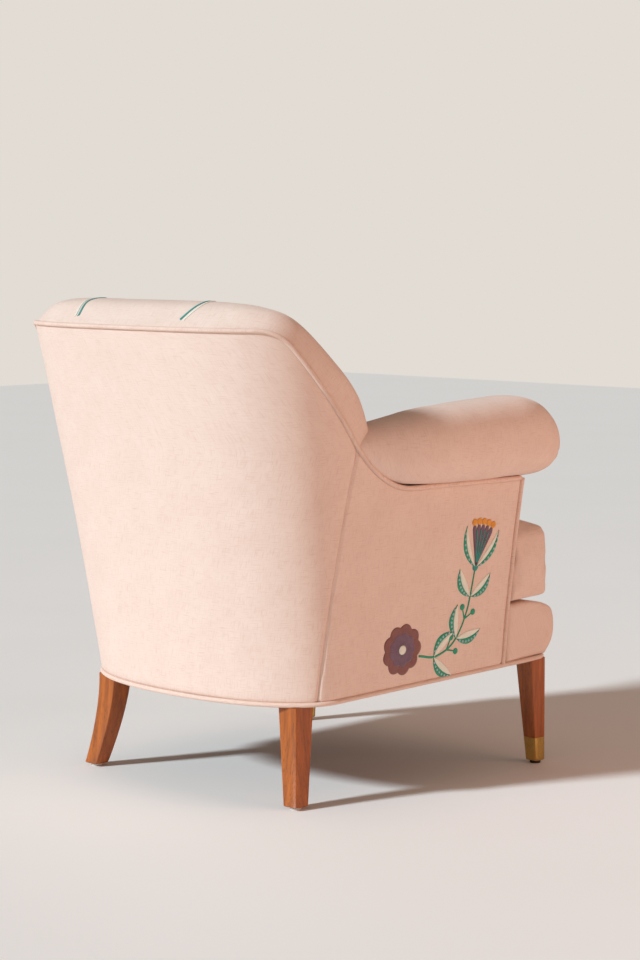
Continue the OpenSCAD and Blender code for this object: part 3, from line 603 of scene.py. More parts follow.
# Rings of the roll: share of the length from its tail, then shares of the width that the middle stands
# inwards and of the width, and shares of the height, low and high.
ROLL_SHAPE = [
    [-0.16, 0.15, 0.45, 0.35, 0.62], [-0.1, 0.14, 0.56, 0.28, 0.69], [0, 0.1, 0.704, 0.115, 0.777],
    [0.108, 0.05, 0.831, 0.036, 0.842], [0.268, 0.014, 0.944, 0, 0.914], [0.429, 0, 0.965, 0, 0.95],
    [0.589, 0, 0.986, 0, 0.978], [0.706, 0, 1, 0, 1], [0.789, 0, 0.979, 0, 0.978],
    [0.858, 0, 0.894, 0.014, 0.91], [0.917, 0, 0.746, 0.065, 0.791],
    [0.963, 0.007, 0.549, 0.137, 0.633], [0.991, 0.014, 0.31, 0.23, 0.482], [1, 0.014, 0.01, 0.352, 0.358]]
ROLL_SIDES = 96
NOSE_TUCKS = (-0.35, -0.75, -1.15, -1.55, -1.95, -2.35, -2.75)     # angles round the nose's underside
TUCK_DEPTH = 1.6 * MM


def arm_roll(side):
    """The padded arm roll with its nose, and the tucks where the cloth is drawn in under the nose."""
    share, inwards, wide, low, high = np.split(curve(ROLL_SHAPE, np.linspace(0, 1, 150)), 5, axis=1)
    angle = np.linspace(0, 2 * np.pi, ROLL_SIDES, endpoint=False)
    cos, sin = np.cos(angle), np.sin(angle)
    x = ROLL_X - inwards * ROLL_W + ROLL_W / 2 * wide * np.sign(cos) * np.abs(cos) ** 0.8
    y = np.repeat(ROLL_TAIL - share * (ROLL_TAIL - NOSE_Y), ROLL_SIDES, 1)
    z = ARM_Z + ROLL_H / 2 * (low + high + (high - low) * np.sign(sin) * np.abs(sin) ** 0.86)
    grid = joined(side * x, y, z)
    tucks = np.zeros(grid.shape[:2])
    for at in NOSE_TUCKS:
        gap = np.angle(np.exp(1j * (angle[None] - at)))
        tucks += np.exp(-(gap / 0.07) ** 2) * np.clip((share - 0.86) / 0.1, 0, 1)
    n = normals(np.concatenate([grid[:, -1:], grid, grid[:, :1]], 1))[:, 1:-1]
    n *= np.sign((n * (grid - grid.mean(1, keepdims=True))).sum())
    calm = np.clip((1 - share) / 0.05, 0, 1)
    push = 1.6 * MM * wander(grid, 0.09) * calm + 0.4 * MM * wander(grid, 0.03, 3.0) * calm
    push = push - TUCK_DEPTH * tucks * calm ** 0.5
    return grid + n * push[..., None]


for name, side in SIDES.items():
    roll = sheet(f"arm_linen_{name}", arm_roll(side), blush_linen, thick=0, loop=True)
    weld(roll)
    put(roll, "linen", f"arm_cover_{name}")

FRONT_BEND = 0.014                  # the corner between an arm's inside and its front
ARM_FACE = INNER_X - 0.001


def inside_arm(side):
    """Cloth down the inside of an arm, round its front corner and across to the front piping.
    It starts beside the deck, below the cushion, and ends inside the roll's padding."""
    z = np.linspace(LEG_H + 0.105, ARM_Z + 0.06, 46)[:, None]
    back = BACK_FACE + 0.012
    front = EDGE_Y - EDGE_LEAN * 0.8 - 0.004
    run = np.linspace(0, 1, 40)[None]
    straight = joined(ARM_FACE + 0 * z, back + (front + FRONT_BEND - back) * run, z)
    a = np.linspace(0, np.pi / 2, 9)[None, 1:]
    bend = joined(ARM_FACE + FRONT_BEND * (1 - np.cos(a)), front + FRONT_BEND * (1 - np.sin(a)), z)
    start, outer = ARM_FACE + FRONT_BEND, side_x(arm_edge_y(z), z) - 0.004
    across = np.linspace(0, 1, 16)[None, 1:]
    face = joined(start + (outer - start) * across, front + (arm_edge_y(z) - 0.002 - front) * across ** 2, z)
    grid = np.concatenate([straight, bend, face], 1) * (side, 1, 1)
    return settle(grid, (-side, -0.5, 0), {"last": 1}, soft=1.2 * MM)


for name, side in SIDES.items():
    inner = sheet(f"inside_arm_linen_{name}", inside_arm(side), blush_linen,
                  behind=(side * 0.27, -0.05, 0.4))
    put(inner, "linen", f"arm_front_panel_{name}")

# ---------- piping ----------

top_path = evenly(np.vstack([half_welt[:0:-1], half_welt * (-1, 1, 1)]), 0.005)
put(tube("top_piping", top_path, WELT_R, shaded_piping_linen), "piping", "top_welt")
for name, side in SIDES.items():
    edge_z = np.linspace(base_z(EDGE_Y) + COVER_FOOT, ARM_Z - 0.002, 60)
    edge_y = arm_edge_y(edge_z)
    edge_path = joined(side * (side_x(edge_y, edge_z) - 0.002), edge_y - WELT_R, edge_z)
    edge_piping = tube(f"arm_front_piping_{name}", edge_path, WELT_R, shaded_piping_linen)
    put(edge_piping, "piping", f"arm_front_welt_{name}")

BASE_CORNER = 0.022
base_front_y = FRONT_Y + BORDER_DROP + 0.004
base_front_x = EAR_W / 2 - BASE_CORNER
base_turns = np.linspace(0, np.pi / 2, 60)
bend_a = np.linspace(0, np.pi / 2, 9)
side_run = np.linspace(JOIN_Y, base_front_y + BASE_CORNER + 0.03, 60)[1:]
base_half = np.vstack([
    shell(base_turns, np.full(60, LEG_H))[:, :2],
    np.stack([side_x(side_run, np.full_like(side_run, LEG_H)), side_run], -1),
    np.stack([base_front_x + BASE_CORNER * np.cos(bend_a),
              base_front_y + BASE_CORNER * (1 - np.sin(bend_a))], -1),
    [[0, base_front_y]]])
base_plan = evenly(np.vstack([base_half, base_half[-2:0:-1] * (-1, 1), base_half[:1]]), 0.005)[:-1]
base_path = np.column_stack([base_plan, base_z(base_plan[:, 1]) + WELT_R])
put(tube("base_piping", base_path, WELT_R, shaded_piping_linen, loop=True), "piping", "base_welt")

# ---------- front border ----------

border_foot = base_z(FRONT_Y)
BORDER_LINE = [[FRONT_Y + BORDER_DROP + 0.004, border_foot + 0.006], [FRONT_Y + 0.006, border_foot + 0.026],
               [FRONT_Y, border_foot + 0.048], [FRONT_Y + 0.003, BORDER_TOP - 0.026],
               [FRONT_Y + 0.016, BORDER_TOP - 0.010], [FRONT_Y + 0.06, BORDER_TOP + 0.001],
               [EAR_REAR + 0.006, BORDER_TOP]]
BORDER_ROUND = 0.009


def front_border():
    """The padded border under the cushion, with soft ends beside the arms."""
    profile = curve(BORDER_LINE, np.linspace(0, 1, 60))
    rear_line = np.array([[EAR_REAR + 0.006, z] for z in np.linspace(BORDER_TOP, border_foot, 20)])[1:]
    outline = np.vstack([profile, rear_line, [[FRONT_Y + BORDER_DROP + 0.03, border_foot + 0.004]]])
    centre = outline.mean(0)
    half = EAR_W / 2
    shares = [(1 - BORDER_ROUND / 0.05 * (1 - math.cos(a)), half - BORDER_ROUND * (1 - math.sin(a)))
              for a in np.linspace(0, math.pi / 2, 8)]
    inner = [(0.8 * s, half + 0.0015) for s in (0.8, 0.5, 0.01)]
    ends = shares + inner
    middle = [(1, x) for x in np.linspace(-(half - BORDER_ROUND), half - BORDER_ROUND, 80)[1:-1]]
    rings = [(s, -x) for s, x in ends[::-1]] + middle + ends
    grid = np.array([[[x, *(centre + (p - centre) * s)] for p in outline] for s, x in rings])
    grid[..., 1] += MM * wander(grid, 0.07)
    return grid


border = sheet("front_border_linen", front_border(), blush_linen, thick=0, loop=True)
weld(border)
put(border, "linen", "front_border_cover")

# ---------- seat cushion ----------

CUSHION_BASE = DECK_H + 0.005       # bottom seam, above the underside
CUSHION_TOP = DECK_H + 0.119        # top seam
CROWN = 0.026
CELL = 0.008                        # spacing of its points
WALL_ROWS = [0.0025, 0.007, *np.arange(0.016, 0.094, CELL), 0.103, 0.1075]     # heights above the bottom seam
WALL_BULGE = 0.004
CLOTH_STEPS = 20
SEAM_PULL, SEAM_REACH = 2.2 * MM, 3.5 * MM      # how far the seams draw the cloth in, and over what distance


def filleted(corners, step):
    """A closed path through corners (x, y, radius), with round corners and points a step apart."""
    path = []
    count = len(corners)
    for i, (x, y, r) in enumerate(corners):
        here = np.array([x, y])
        back = np.array(corners[i - 1][:2]) - here
        ahead = np.array(corners[(i + 1) % count][:2]) - here
        back, ahead = back / np.linalg.norm(back), ahead / np.linalg.norm(ahead)
        middle = here + r * (back + ahead)
        for a in np.linspace(0, math.pi / 2, 9):
            path.append(middle - r * (ahead * math.cos(a) + back * math.sin(a)))
    return evenly(np.vstack([path, path[:1]]), step)[:-1]


def cushion_outline():
    """The cushion's T-shaped plan in the seat frame's plane."""
    ear, seat = EAR_W / 2 - 0.002, CUSHION_W / 2 - 0.002
    front, step_back, rear_edge = base_y(CUSHION_FRONT), base_y(EAR_REAR), base_y(CUSHION_REAR) - 0.002
    right = [[ear, front, 0.03], [ear, step_back, 0.02], [seat, step_back, 0.006], [seat, rear_edge, 0.024]]
    return filleted([[-ear, front, 0.03], *right, *[[-x, y, r] for x, y, r in right[:0:-1]]], CELL)


def inset(loop, d):
    """A closed path moved towards its inside."""
    along = np.roll(loop, -1, 0) - np.roll(loop, 1, 0)
    along /= np.linalg.norm(along, axis=1, keepdims=True)
    return loop + d * np.stack([-along[:, 1], along[:, 0]], 1)


def cushion_panel(loops):
    """Flat points and faces that fill the outline: its rings, then a filled middle."""
    count = len(loops[0])
    flat = np.vstack(loops)
    faces = grid_faces(len(loops), count, loop=True)
    last = loops[-1]
    low, high = last.min(0), last.max(0)
    gx, gy = np.meshgrid(np.arange(low[0], high[0], CELL), np.arange(low[1], high[1], CELL))
    inner = np.stack([gx.ravel(), gy.ravel()], 1)
    clear = np.linalg.norm(inner[:, None] - last[None], axis=2).min(1) > CELL * 0.6
    inner = inner[clear]
    points = [Vector(p) for p in np.vstack([last, inner])]
    edges = [(i, (i + 1) % count) for i in range(count)]
    verts, _, triangles, origin, _, _ = geometry.delaunay_2d_cdt(points, edges, [], 1, 1e-7)
    offset = count * (len(loops) - 1)
    index = {}
    extra = []
    for i, source in enumerate(origin):
        if source and source[0] < count:
            index[i] = offset + source[0]
        else:
            index[i] = offset + count + len(extra)
            extra.append(verts[i][:])
    faces += [[index[i] for i in f] for f in triangles]
    return np.vstack([flat, extra]), faces


def simulate(piece, held, pressure, cap):
    """Fills the cushion: pressure swells its cloth, and no point moves further than the cap."""
    rest = np.array([v.co for v in piece.data.vertices])
    group = piece.vertex_groups.new(name="held")
    group.add(held, 1.0, "REPLACE")
    fill = piece.modifiers.new("fill", "CLOTH")
    fill.settings.quality = 6
    fill.settings.mass = 0.2
    fill.settings.tension_stiffness = fill.settings.compression_stiffness = 12
    fill.settings.bending_stiffness = 0.4
    fill.settings.shrink_min = -0.025
    fill.settings.vertex_group_mass = "held"
    fill.settings.use_pressure = True
    fill.settings.uniform_pressure_force = pressure
    fill.settings.effector_weights.gravity = 0
    fill.point_cache.frame_end = CLOTH_STEPS
    for step in range(1, CLOTH_STEPS + 1):
        bpy.context.scene.frame_set(step)
    posed = piece.evaluated_get(bpy.context.evaluated_depsgraph_get()).to_mesh()
    moved = np.array([v.co for v in posed.vertices]) - rest
    piece.modifiers.remove(fill)
    piece.vertex_groups.remove(group)
    bpy.context.scene.frame_set(1)
    size = np.maximum(np.linalg.norm(moved, axis=1, keepdims=True), 1e-9)
    moved *= np.minimum(1, cap / size)
    piece.data.vertices.foreach_set("co", (rest + moved).ravel())
    piece.data.update()


def border_uvs(faces, first_wall, rings, outline, heights):
    """UVs of the border's faces: its cloth runs round the cushion, so they follow the outline."""
    run = np.concatenate([[0], np.cumsum(np.linalg.norm(np.roll(outline, -1, 0) - outline, axis=1))])
    position = {}
    for ring in rings:
        for i, v in enumerate(ring):
            position.setdefault(v, i)
    return [(run[position[face[0]] + (spot in (1, 2))], heights[v])
            for face in faces[first_wall:] for spot, v in enumerate(face)]


def seat_cushion():
    """The loose cushion: top and bottom panels sewn to a border, filled so that it crowns.
    Returns it with the points of its top seam and of its bottom seam."""
    outline = cushion_outline()
    panel, panel_faces = cushion_panel([outline, inset(outline, 0.0025), inset(outline, 0.007)])
    count, size = len(outline), len(panel)
    away = np.linalg.norm(panel[:, None] - outline[None], axis=2).min(1)
    crown = CROWN * (1 - np.exp(-away / 0.045))
    top = np.column_stack([panel, CUSHION_TOP + crown])
    bottom = np.column_stack([panel, CUSHION_BASE - 0.3 * crown])
    outwards = outline - inset(outline, 1)
    walls = []
    for h in WALL_ROWS:
        bulge = WALL_BULGE * math.sin(math.pi * h / (CUSHION_TOP - CUSHION_BASE)) ** 0.6
        walls.append(np.column_stack([outline + outwards * bulge, np.full(count, CUSHION_BASE + h)]))
    flat = np.vstack([top, bottom] + walls)
    starts = [size, *[2 * size + k * count for k in range(len(WALL_ROWS))], 0]
    rings = [list(range(start, start + count)) for start in starts]
    faces = list(panel_faces) + [[size + i for i in f[::-1]] for f in panel_faces]
    first_wall = len(faces)
    for low, high in zip(rings, rings[1:]):
        for i in range(count):
            j = (i + 1) % count
            faces.append([low[i], low[j], high[j], high[i]])
    uvs = [flat[v][:2] for face in faces[:first_wall] for v in face]
    uvs += border_uvs(faces, first_wall, rings, outline, flat[:, 2])
    piece = build("seat_cushion_linen", on_base(*flat.T), faces, uvs, blush_linen)
    top_seam, bottom_seam = rings[-1], rings[0]
    held = top_seam + bottom_seam + list(range(size + count, 2 * size))
    simulate(piece, held, pressure=1.5, cap=0.012)
    return piece, top_seam, bottom_seam


cushion, top_seam, bottom_seam = seat_cushion()


def tidy_cushion():
    """Draws the seams in, flattens the underside, and keeps the cushion between its neighbours."""
    points = np.array([v.co for v in cushion.data.vertices])
    seams = [points[line] for line in (top_seam, bottom_seam)]
    middle = points.mean(0)
    for line in seams:
        distance = np.full(len(points), 1.0)
        for start in range(0, len(points), 4000):
            block = points[start:start + 4000]
            distance[start:start + 4000] = np.linalg.norm(block[:, None] - line[None], axis=2).min(1)
        pull = (middle - points) * (1, 1, 0.5)
        pull /= np.linalg.norm(pull, axis=1, keepdims=True)
        points += pull * (SEAM_PULL * np.exp(-(distance / SEAM_REACH) ** 2))[:, None]
    deck = LEG_H + (BASE_REAR - points[:, 1]) * math.tan(SEAT_PITCH) + DECK_H / math.cos(SEAT_PITCH)
    points[:, 2] = np.maximum(points[:, 2], deck + 0.0003)
    back_part = points[:, 1] > EAR_REAR
    limit = np.where(back_part, CUSHION_W / 2 + 0.0015, 1)
    points[:, 0] = np.clip(points[:, 0], -limit, limit)
    rear_limit = np.where(np.abs(points[:, 0]) < CUSHION_W / 2 + 0.01, CUSHION_REAR, EAR_REAR)
    points[:, 1] = np.minimum(points[:, 1], rear_limit)
    points += 0.8 * MM * wander(points, 0.05)[:, None] * (0, 0, 1) * (points[:, 2:] > middle[2])
    cushion.data.vertices.foreach_set("co", points.ravel())
    cushion.data.update()


tidy_cushion()
cushion_foam = cushion.copy()
cushion_foam.data = cushion.data.copy()
cushion_foam.name = cushion_foam.data.name = "seat_cushion_foam"
bpy.context.scene.collection.objects.link(cushion_foam)
cushion_foam.data.materials[0] = foam
FOAM_MARGIN = 0.006
inner = [v.co - v.normal * FOAM_MARGIN for v in cushion_foam.data.vertices]
cushion_foam.data.vertices.foreach_set("co", np.array(inner).ravel())
put(cushion_foam, "padding", "seat_cushion_core", body="seat_cushion")
smooth = cushion.modifiers.new("smooth", "SUBSURF")
smooth.levels = smooth.render_levels = 1
put(cushion, "linen", "seat_cushion_cover", body="seat_cushion")

# ---------- seat deck ----------

DECK_DROP = 0.020                   # how far the deck's cloth turns down at its edges
DECK_TURN = 0.08                    # share of its half width and depth that turns down


def deck_cloth():
    """Cloth over the springs, which shows when the cushion is out: nearly flat, turned down all round."""
    low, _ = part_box("seat_deck")
    half, y0, y1 = INNER_X, base_y(low[1] + 0.006), base_y(BACK_FACE + 0.02)
    spread = (1 + DECK_TURN) * (2 * eased(61) - 1)
    over = np.maximum(0, np.abs(spread) - 1)
    drop = np.maximum(over[:, None], over[None]) / DECK_TURN * DECK_DROP
    inside = np.clip(spread, -1, 1)
    y = (y0 + y1) / 2 + (y1 - y0) / 2 * inside[:, None]
    return on_base(half * inside[None], y, DECK_H - 0.0015 - drop)


deck_grid = settle(deck_cloth(), (0, 0, 1), {}, soft=0.5 * MM)
put(sheet("seat_deck_linen", deck_grid, blush_linen, behind=(0, -0.1, 0.2)), "linen", "seat_deck")

# ---------- legs ----------


def square_ring(x, y, z, side, count=40, roundness=7):
    """A square section with eased corners."""
    a = np.linspace(0, 2 * np.pi, count, endpoint=False)
    reach = side / 2 / (np.abs(np.cos(a)) ** roundness + np.abs(np.sin(a)) ** roundness) ** (1 / roundness)
    return joined(x + reach * np.cos(a), y + reach * np.sin(a), z)


def solid(name, rings, material):
    """A closed solid through rings, with flat ends."""
    rings = np.array(rings)
    ends = [np.repeat(r.mean(0)[None], len(r), 0) for r in (rings[0], rings[-1])]
    piece = sheet(name, np.concatenate([ends[:1], rings, ends[1:]]), material, thick=0, loop=True)
    weld(piece)
    mark_sharp(piece)
    return piece


def mark_sharp(piece, angle=0.7):
    """Keeps edges sharp where two faces meet at more than an angle."""
    edit = bmesh.new()
    edit.from_mesh(piece.data)
    for edge in edit.edges:
        edge.smooth = len(edge.link_faces) == 2 and edge.calc_face_angle(0) < angle
    edit.to_mesh(piece.data)
    edit.free()


back_leg_xy = (BASE_W / 2 - 0.052, JOIN_Y + 0.049)
front_leg_xy = (float(side_x(EDGE_Y, np.array(LEG_H))) - 0.019, FRONT_Y + 0.041)
FRONT_SWEEP = (0.007, -0.007)
FRONT_TOP = base_z(front_leg_xy[1])
FERRULE_Z = GLIDE_H + FERRULE_H
SOFT = 0.0012                       # how far the legs' and ferrules' edges are eased


def back_leg(side):
    """Rings of a back leg, which sweeps outwards and back on its way down."""
    rings = []
    top = base_z(back_leg_xy[1])
    for t in np.linspace(0, 1, 30):
        s = t ** 1.6 * SWEEP
        width = BACK_LEG_TOP + (BACK_LEG_FOOT - BACK_LEG_TOP) * t
        z = top * (1 - t) + GLIDE_H * t
        rings.append(square_ring(side * (back_leg_xy[0] + s), back_leg_xy[1] + s, z, width))
    rings[0][:, 2] = base_z(rings[0][:, 1])
    foot = rings[-1]
    centre = foot.mean(0)
    rings[-1] = foot + (0, 0, SOFT)
    return [*rings, centre + (foot - centre) * (1 - 2 * SOFT / BACK_LEG_FOOT)]


def front_ring(side, z, thin=0.0):
    """A section of a tapered front leg; thin takes a little off each face."""
    t = (FRONT_TOP - z) / (FRONT_TOP - GLIDE_H)
    width = FRONT_LEG_TOP + (FRONT_LEG_FOOT - FRONT_LEG_TOP) * t - 2 * thin
    x, y = front_leg_xy[0] + t * FRONT_SWEEP[0], front_leg_xy[1] + t * FRONT_SWEEP[1]
    return square_ring(side * x, y, z, width)


def front_leg(side):
    """Rings of a front leg's wood, down to its ferrule."""
    rings = [front_ring(side, z) for z in np.linspace(FRONT_TOP, FERRULE_Z, 24)]
    rings[0][:, 2] = base_z(rings[0][:, 1])
    return [*rings, front_ring(side, FERRULE_Z - SOFT / 2, SOFT)]


def ferrule(side):
    """Rings of the brass cap on a front foot, from its eased rim to its eased bottom."""
    rim = [(FERRULE_Z - SOFT / 2, SOFT * 1.1), (FERRULE_Z, SOFT / 2), (FERRULE_Z - SOFT / 2, 0)]
    wall = [(z, 0) for z in np.linspace(FERRULE_Z - SOFT, GLIDE_H + SOFT, 10)]
    bottom = [(GLIDE_H + SOFT / 3, SOFT / 3), (GLIDE_H, SOFT)]
    return [front_ring(side, z, thin) for z, thin in rim + wall + bottom]


for name, side in SIDES.items():
    put(solid(f"back_leg_{name}_wood", back_leg(side), leg_beech), "leg_wood", f"back_leg_{name}")
    put(solid(f"front_leg_{name}_wood", front_leg(side), leg_beech), "leg_wood", f"front_leg_{name}")
    put(solid(f"ferrule_{name}_brass", ferrule(side), ferrule_brass), "brass", f"ferrule_{name}")

# ---------- embroidery ----------


class Cloth:
    """The cloth under a piece of embroidery: flat points across and up become points on its surface."""

    def __init__(self, target, centre, across, up):
        posed = target.evaluated_get(bpy.context.evaluated_depsgraph_get())
        mesh = posed.to_mesh()
        self.tree = BVHTree.FromPolygons([v.co[:] for v in mesh.vertices],
                                         [f.vertices[:] for f in mesh.polygons])
        self.centre, self.across, self.up = (np.array(v, float) for v in (centre, across, up))
        self.out = np.cross(self.across, self.up)

    def facing(self, outwards):
        """Turns the cloth's right side to the side that outwards points to."""
        self.out *= np.sign(self.out @ np.array(outwards, float))
        return self

    def lay(self, flat, lift):
        """Points on the cloth, lifted off it."""
        points = np.empty(flat.shape[:-1] + (3,))
        for spot in np.ndindex(flat.shape[:-1]):
            u, v = flat[spot] * MM
            start = self.centre + u * self.across + v * self.up + self.out
            hit, normal, _, _ = self.tree.ray_cast(Vector(start), Vector(-self.out))
            if hit is None:
                hit, normal, _, _ = self.tree.find_nearest(Vector(start - self.out))
            if normal.dot(Vector(self.out)) < 0:
                normal = -normal
            points[spot] = np.array(hit) + np.array(normal) * lift[spot]
        return points


EDGE_LIFT = 0.25 * MM
PILE = 0.9 * MM                     # how far the middle of a row of satin stitches stands off the cloth
FAN_START = 0.02                    # where the stitches of a fan start, as a share of their length


def dome(n):
    """Height across a row of stitches: low at both edges and round between them."""
    return np.sqrt(np.maximum(0, 1 - (2 * np.linspace(0, 1, n) - 1) ** 2))


def satin(one, other, along=48, across=9):
    """Stitches from one curve to another."""
    t = np.linspace(0, 1, along)
    a, b = curve(one, t)[:, None], curve(other, t)[:, None]
    grid = a + (b - a) * np.linspace(0, 1, across)[None, :, None]
    return grid, np.repeat(dome(across)[None], along, 0), "rows"


def stem(points, width):
    """A line of stem stitch, a little thinner at its end."""
    t = np.linspace(0, 1, 14 * len(points))
    line = curve(points, t)
    run = np.gradient(line, axis=0)
    side = np.stack([-run[:, 1], run[:, 0]], 1) / np.linalg.norm(run, axis=1, keepdims=True)
    half = (width / 2 * (1 - 0.25 * t))[:, None, None]
    grid = line[:, None] + side[:, None] * np.linspace(-1, 1, 7)[None, :, None] * half
    return grid, np.repeat(dome(7)[None], len(t), 0), "rows"


def dot(x, y, r):
    """A small padded round."""
    a = np.linspace(0, 2 * np.pi, 25)[:, None]
    reach = np.linspace(0, 1, 5)[None]
    grid = np.stack([x + r * reach * np.cos(a), y + r * reach * np.sin(a)], -1)
    return grid, np.repeat(np.sqrt(1 - reach ** 2 * 0.96), 25, 0), "plane"


def fan(root, outline, along=200):
    """Stitches that spread from a root to an outline, some a little prouder than others."""
    rim = curve(outline, np.linspace(0, 1, along))
    share = FAN_START + (1 - FAN_START) * np.linspace(0, 1, 14)
    grid = np.array(root) + (rim - root)[:, None] * share[:, None]
    lift = 0.75 + 0.25 * np.array([noise.noise((3.1 * k, 0.9, 0)) for k in range(along)])[:, None]
    return grid, lift * np.sqrt(np.clip(1 - share ** 6, 0.02, 1)), "fan"


def embroider(name, cloth, colours, change=lambda p: p):
    """Sews patches in each floss colour onto the cloth; change moves the motif's flat points first."""
    for floss, patches in colours.items():
        verts, faces, uvs = [], [], []
        for flat, lift, kind in patches:
            flat = change(np.asarray(flat, float))
            grid = cloth.lay(flat, EDGE_LIFT + PILE * lift)
            rows, cols = grid.shape[:2]
            u, v = lengths(grid, 0), lengths(grid, 1)
            if kind == "fan":
                u = np.repeat(u[:, -1:], cols, 1) * 0.7
            if kind == "plane":
                u, v = flat[..., 0] * MM, flat[..., 1] * MM
            first = len(verts)
            quads = grid_faces(rows, cols, start=first)
            inwards = (np.cross(np.diff(grid, axis=0)[:, 1:], np.diff(grid, axis=1)[1:]) @ cloth.out).sum()
            if inwards > 0:         # all patches face away from the cloth, whichever way they were drawn
                quads = [quad[::-1] for quad in quads]
            verts += [tuple(p) for p in grid.reshape(-1, 3)]
            faces += quads
            uvs += [(u.flat[i - first], v.flat[i - first]) for q in quads for i in q]
        piece = build(f"{name}_{floss}", verts, faces, uvs, FLOSS[floss])
        backing = piece.modifiers.new("thickness", "SOLIDIFY")
        backing.thickness = 0.8 * MM
        backing.offset = -1
        put(piece, "linen")


# A plain folk sprig: pairs of leaves on a bowed stem, a round blossom at its foot and a fan-shaped bud at
# its head. Lengths are in millimetres, behind the arm's front piping and above the seat frame's foot.
STEM = [(205, 65), (165, 60), (125, 80), (98, 130), (85, 205)]
LEAF_PLACES, LEAF_LONG, LEAF_WIDE, LEAF_OPEN = (0.22, 0.54, 0.84), 58, 11, math.radians(40)
BERRY_PLACES, BERRY_REACH, BERRY_R = (0.4, 0.7), 22, 5.5
BLOSSOM, BLOSSOM_R, PETALS = (245, 80), 44, 9
BUD_LONG, BUD_OPEN, SCALLOPS = 76, math.radians(21), 5
SEPAL_LONG, SEPAL_WIDE, SEPAL_OPEN = 78, 8, math.radians(30)
STEM_WIDE, STALK_WIDE, STRIPE_WIDE = 4.2, 3.2, 3
STRIPE = (0.12, 0.5, 0.85)          # points of a line of stem stitch up the bud, as shares of its length
BEAD_R = 2.1


def turned(heading):
    """A step of length one in a direction."""
    return np.array([math.cos(heading), math.sin(heading)])


def on_stem(t):
    """A point of the stem, and the stem's heading there."""
    before, here = curve(STEM, [t - 0.01, t])
    return here, math.atan2(*(here - before)[::-1])


def leaf(foot, heading, length, width, hand):
    """The outer edge, rib and inner edge of a pointed leaf that bows to one hand."""
    s = np.linspace(0, 1, 9)[:, None]
    belly = np.maximum(0, np.sin(np.pi * s)) ** 0.8
    across = hand * turned(heading + math.pi / 2)
    rib = foot + length * s * turned(heading) + 0.12 * length * belly * across
    return rib + width * belly * across, rib, rib - width * belly * across


def beads(outer, rib, count):
    """White beads down the middle of a leaf's green half."""
    t = np.linspace(0.14, 0.86, count)
    return [dot(x, y, BEAD_R) for x, y in (curve(outer, t) + curve(rib, t)) / 2]


def raised(patches, height):
    """Patches sewn over others stand higher."""
    return [(grid, lift + height, kind) for grid, lift, kind in patches]


def scalloped(centre, radius, headings, waves):
    """Part of a round outline with shallow scallops."""
    swing = (headings - headings[0]) / (headings[-1] - headings[0])
    reach = radius * (0.88 + 0.12 * np.abs(np.sin(np.pi * waves * swing)))
    return np.array(centre) + reach[:, None] * np.stack([np.cos(headings), np.sin(headings)], 1)


def sprig():
    """The whole motif, as patches of stitches in each floss colour."""
    head, heading = on_stem(1)
    leaves = [leaf(place, way + hand * LEAF_OPEN, LEAF_LONG, LEAF_WIDE, hand)
              for place, way in map(on_stem, LEAF_PLACES) for hand in (1, -1)]
    leaves += [leaf(head, heading + hand * SEPAL_OPEN, SEPAL_LONG, SEPAL_WIDE, hand) for hand in (1, -1)]
    berries = [(place, place + BERRY_REACH * turned(way + hand * LEAF_OPEN))
               for place, way in map(on_stem, BERRY_PLACES) for hand in (1, -1)]
    rim = heading + BUD_OPEN * np.linspace(-1, 1, 41)
    tips = heading + BUD_OPEN * np.linspace(-0.8, 0.8, SCALLOPS)
    crown = [head + (BUD_LONG + 3) * turned(a) for a in tips]
    stripes = [heading + BUD_OPEN * share for share in (-0.6, -0.2, 0.2, 0.6)]
    whole = np.linspace(0, 2 * np.pi, 8 * PETALS + 1)
    return {
        "emerald": [satin(outer, rib) for outer, rib, _ in leaves] + [stem(STEM, STEM_WIDE)]
                   + [stem([foot, (foot + tip) / 2, tip], STALK_WIDE) for foot, tip in berries]
                   + raised([dot(*tip, BERRY_R) for _, tip in berries], 0.2),
        "cream": [satin(rib, inner) for _, rib, inner in leaves] + raised([dot(*BLOSSOM, 8)], 1.3),
        "mist": raised([bead for outer, rib, _ in leaves for bead in beads(outer, rib, 7)], 0.9),
        "russet": [fan(BLOSSOM, scalloped(BLOSSOM, BLOSSOM_R, whole, PETALS))],
        "mauve": raised([fan(BLOSSOM, scalloped(BLOSSOM, 0.68 * BLOSSOM_R, whole, PETALS))], 0.5)
                 + [fan(head, scalloped(head, BUD_LONG, rim, SCALLOPS))],
        "teal": raised([stem([head + BUD_LONG * s * turned(a) for s in STRIPE], STRIPE_WIDE)
                        for a in stripes], 0.7) + [dot(*head, 6.5)],
        "orange": raised([dot(*place, 6) for place in crown], 0.5),
    }


for name, side in SIDES.items():
    arm_cloth = Cloth(outside_arm[name], (0, EDGE_Y, LEG_H), (0, 1, 0), (0, 0, 1)).facing((side, 0, 0))
    embroider(f"arm_embroidery_{name}", arm_cloth, sprig())

BACK_SCALE, BACK_SHIFT = 0.86, 352
for name, side in SIDES.items():
    back_cloth = Cloth(inside_back, (0, 0, 0.425), (side, 0, 0), (0, 0, 1)).facing((0, -1, 0))
    embroider(f"back_embroidery_{name}", back_cloth, sprig(),
              change=lambda p: (np.array((BACK_SHIFT, 0)) + p * (-1, 1)) * BACK_SCALE)

# a plain two-coloured tendril lies over the crest on each side
TENDRILS = {"teal": [stem([(125, -30), (135, 0), (130, 35)], 5)],
            "cream": [stem([(133, -30), (143, 0), (138, 35)], 4)]}
for name, side in SIDES.items():
    crest_cloth = Cloth(inside_back, (0, REAR_Y - 0.05, BACK_H), (side, 0, 0), (0, -1, 0)).facing((0, 0, 1))
    embroider(f"crest_embroidery_{name}", crest_cloth, TENDRILS)

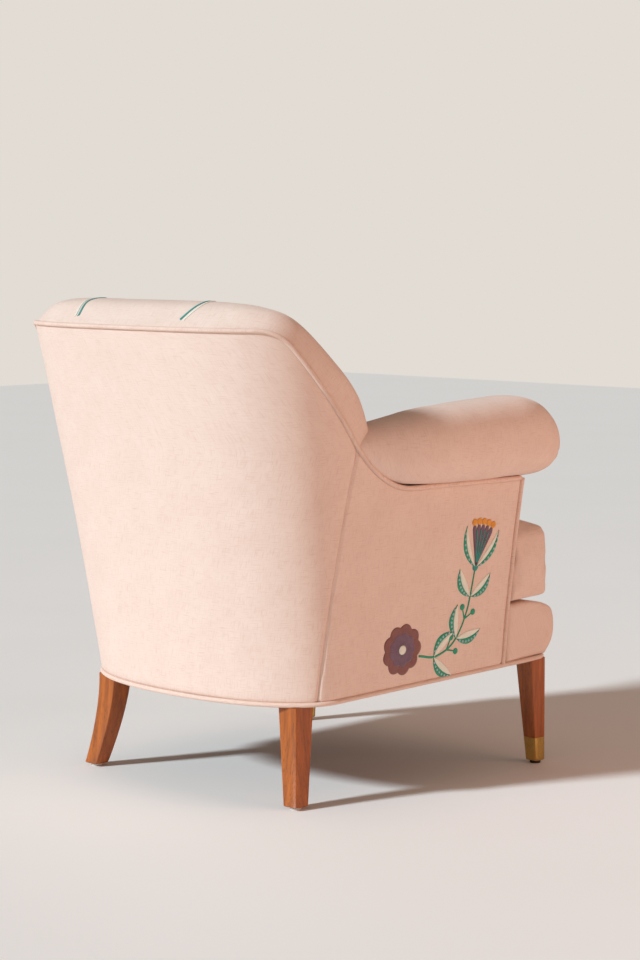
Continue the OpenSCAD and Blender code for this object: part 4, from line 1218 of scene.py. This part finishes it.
# ---------- camera, floor and light ----------

floor_mesh = bpy.data.meshes.new("floor")
floor_mesh.from_pydata([(-9, -9, 0), (9, -9, 0), (9, 9, 0), (-9, 9, 0)], [], [[0, 1, 2, 3]])
floor = bpy.data.objects.new("floor", floor_mesh)
bpy.context.scene.collection.objects.link(floor)
floor_mesh.materials.append(pressed("painted_floor", "#FBF1EA", "#F7EDE5", 0.5, 0.7))

world = bpy.data.worlds.new("studio")
bpy.context.scene.world = world
world.use_nodes = True
room = world.node_tree.nodes["Background"]
room.inputs[0].default_value = colour("#F4E4D8")
room.inputs[1].default_value = 0.30
backdrop = add(world.node_tree, "Background", {0: colour("#E2DCD4"), 1: 1.0})
seen = add(world.node_tree, "LightPath")
mix = add(world.node_tree, "MixShader",
          {0: seen.outputs["Is Camera Ray"], 1: room.outputs[0], 2: backdrop.outputs[0]})
world.node_tree.links.new(mix.outputs[0], world.node_tree.nodes["World Output"].inputs[0])
bpy.context.scene.view_settings.view_transform = "Standard"


def lamp(name, kind, energy, tone, place, target, **settings):
    """A light that stands at a place and points at a target."""
    light = bpy.data.lights.new(name, kind)
    light.energy = energy
    light.color = colour(tone)[:3]
    for key, value in settings.items():
        setattr(light, key, value)
    holder = bpy.data.objects.new(name, light)
    bpy.context.scene.collection.objects.link(holder)
    holder.location = place
    holder.rotation_euler = (Vector(target) - Vector(place)).to_track_quat("-Z", "Y").to_euler()


lamp("key", "SUN", 3.85, "#DFF3FF", (1.37, 4.29, 3.05), (0, 0, 0.45), angle=0.12)
lamp("fill", "AREA", 46, "#FFBFA0", (-3.5, -1.2, 0.8), (0, 0, 0.4), shape="DISK", size=3.0)

camera = bpy.data.objects.new("camera", bpy.data.cameras.new("camera"))
bpy.context.scene.collection.objects.link(camera)
camera.location = (-3.1783, 3.1274, 0.9393)
camera.rotation_euler = Vector((0.6994, -0.7081, -0.097)).to_track_quat("-Z", "Y").to_euler()
camera.data.lens = 97.1
camera.data.sensor_width = 36
bpy.context.scene.camera = camera
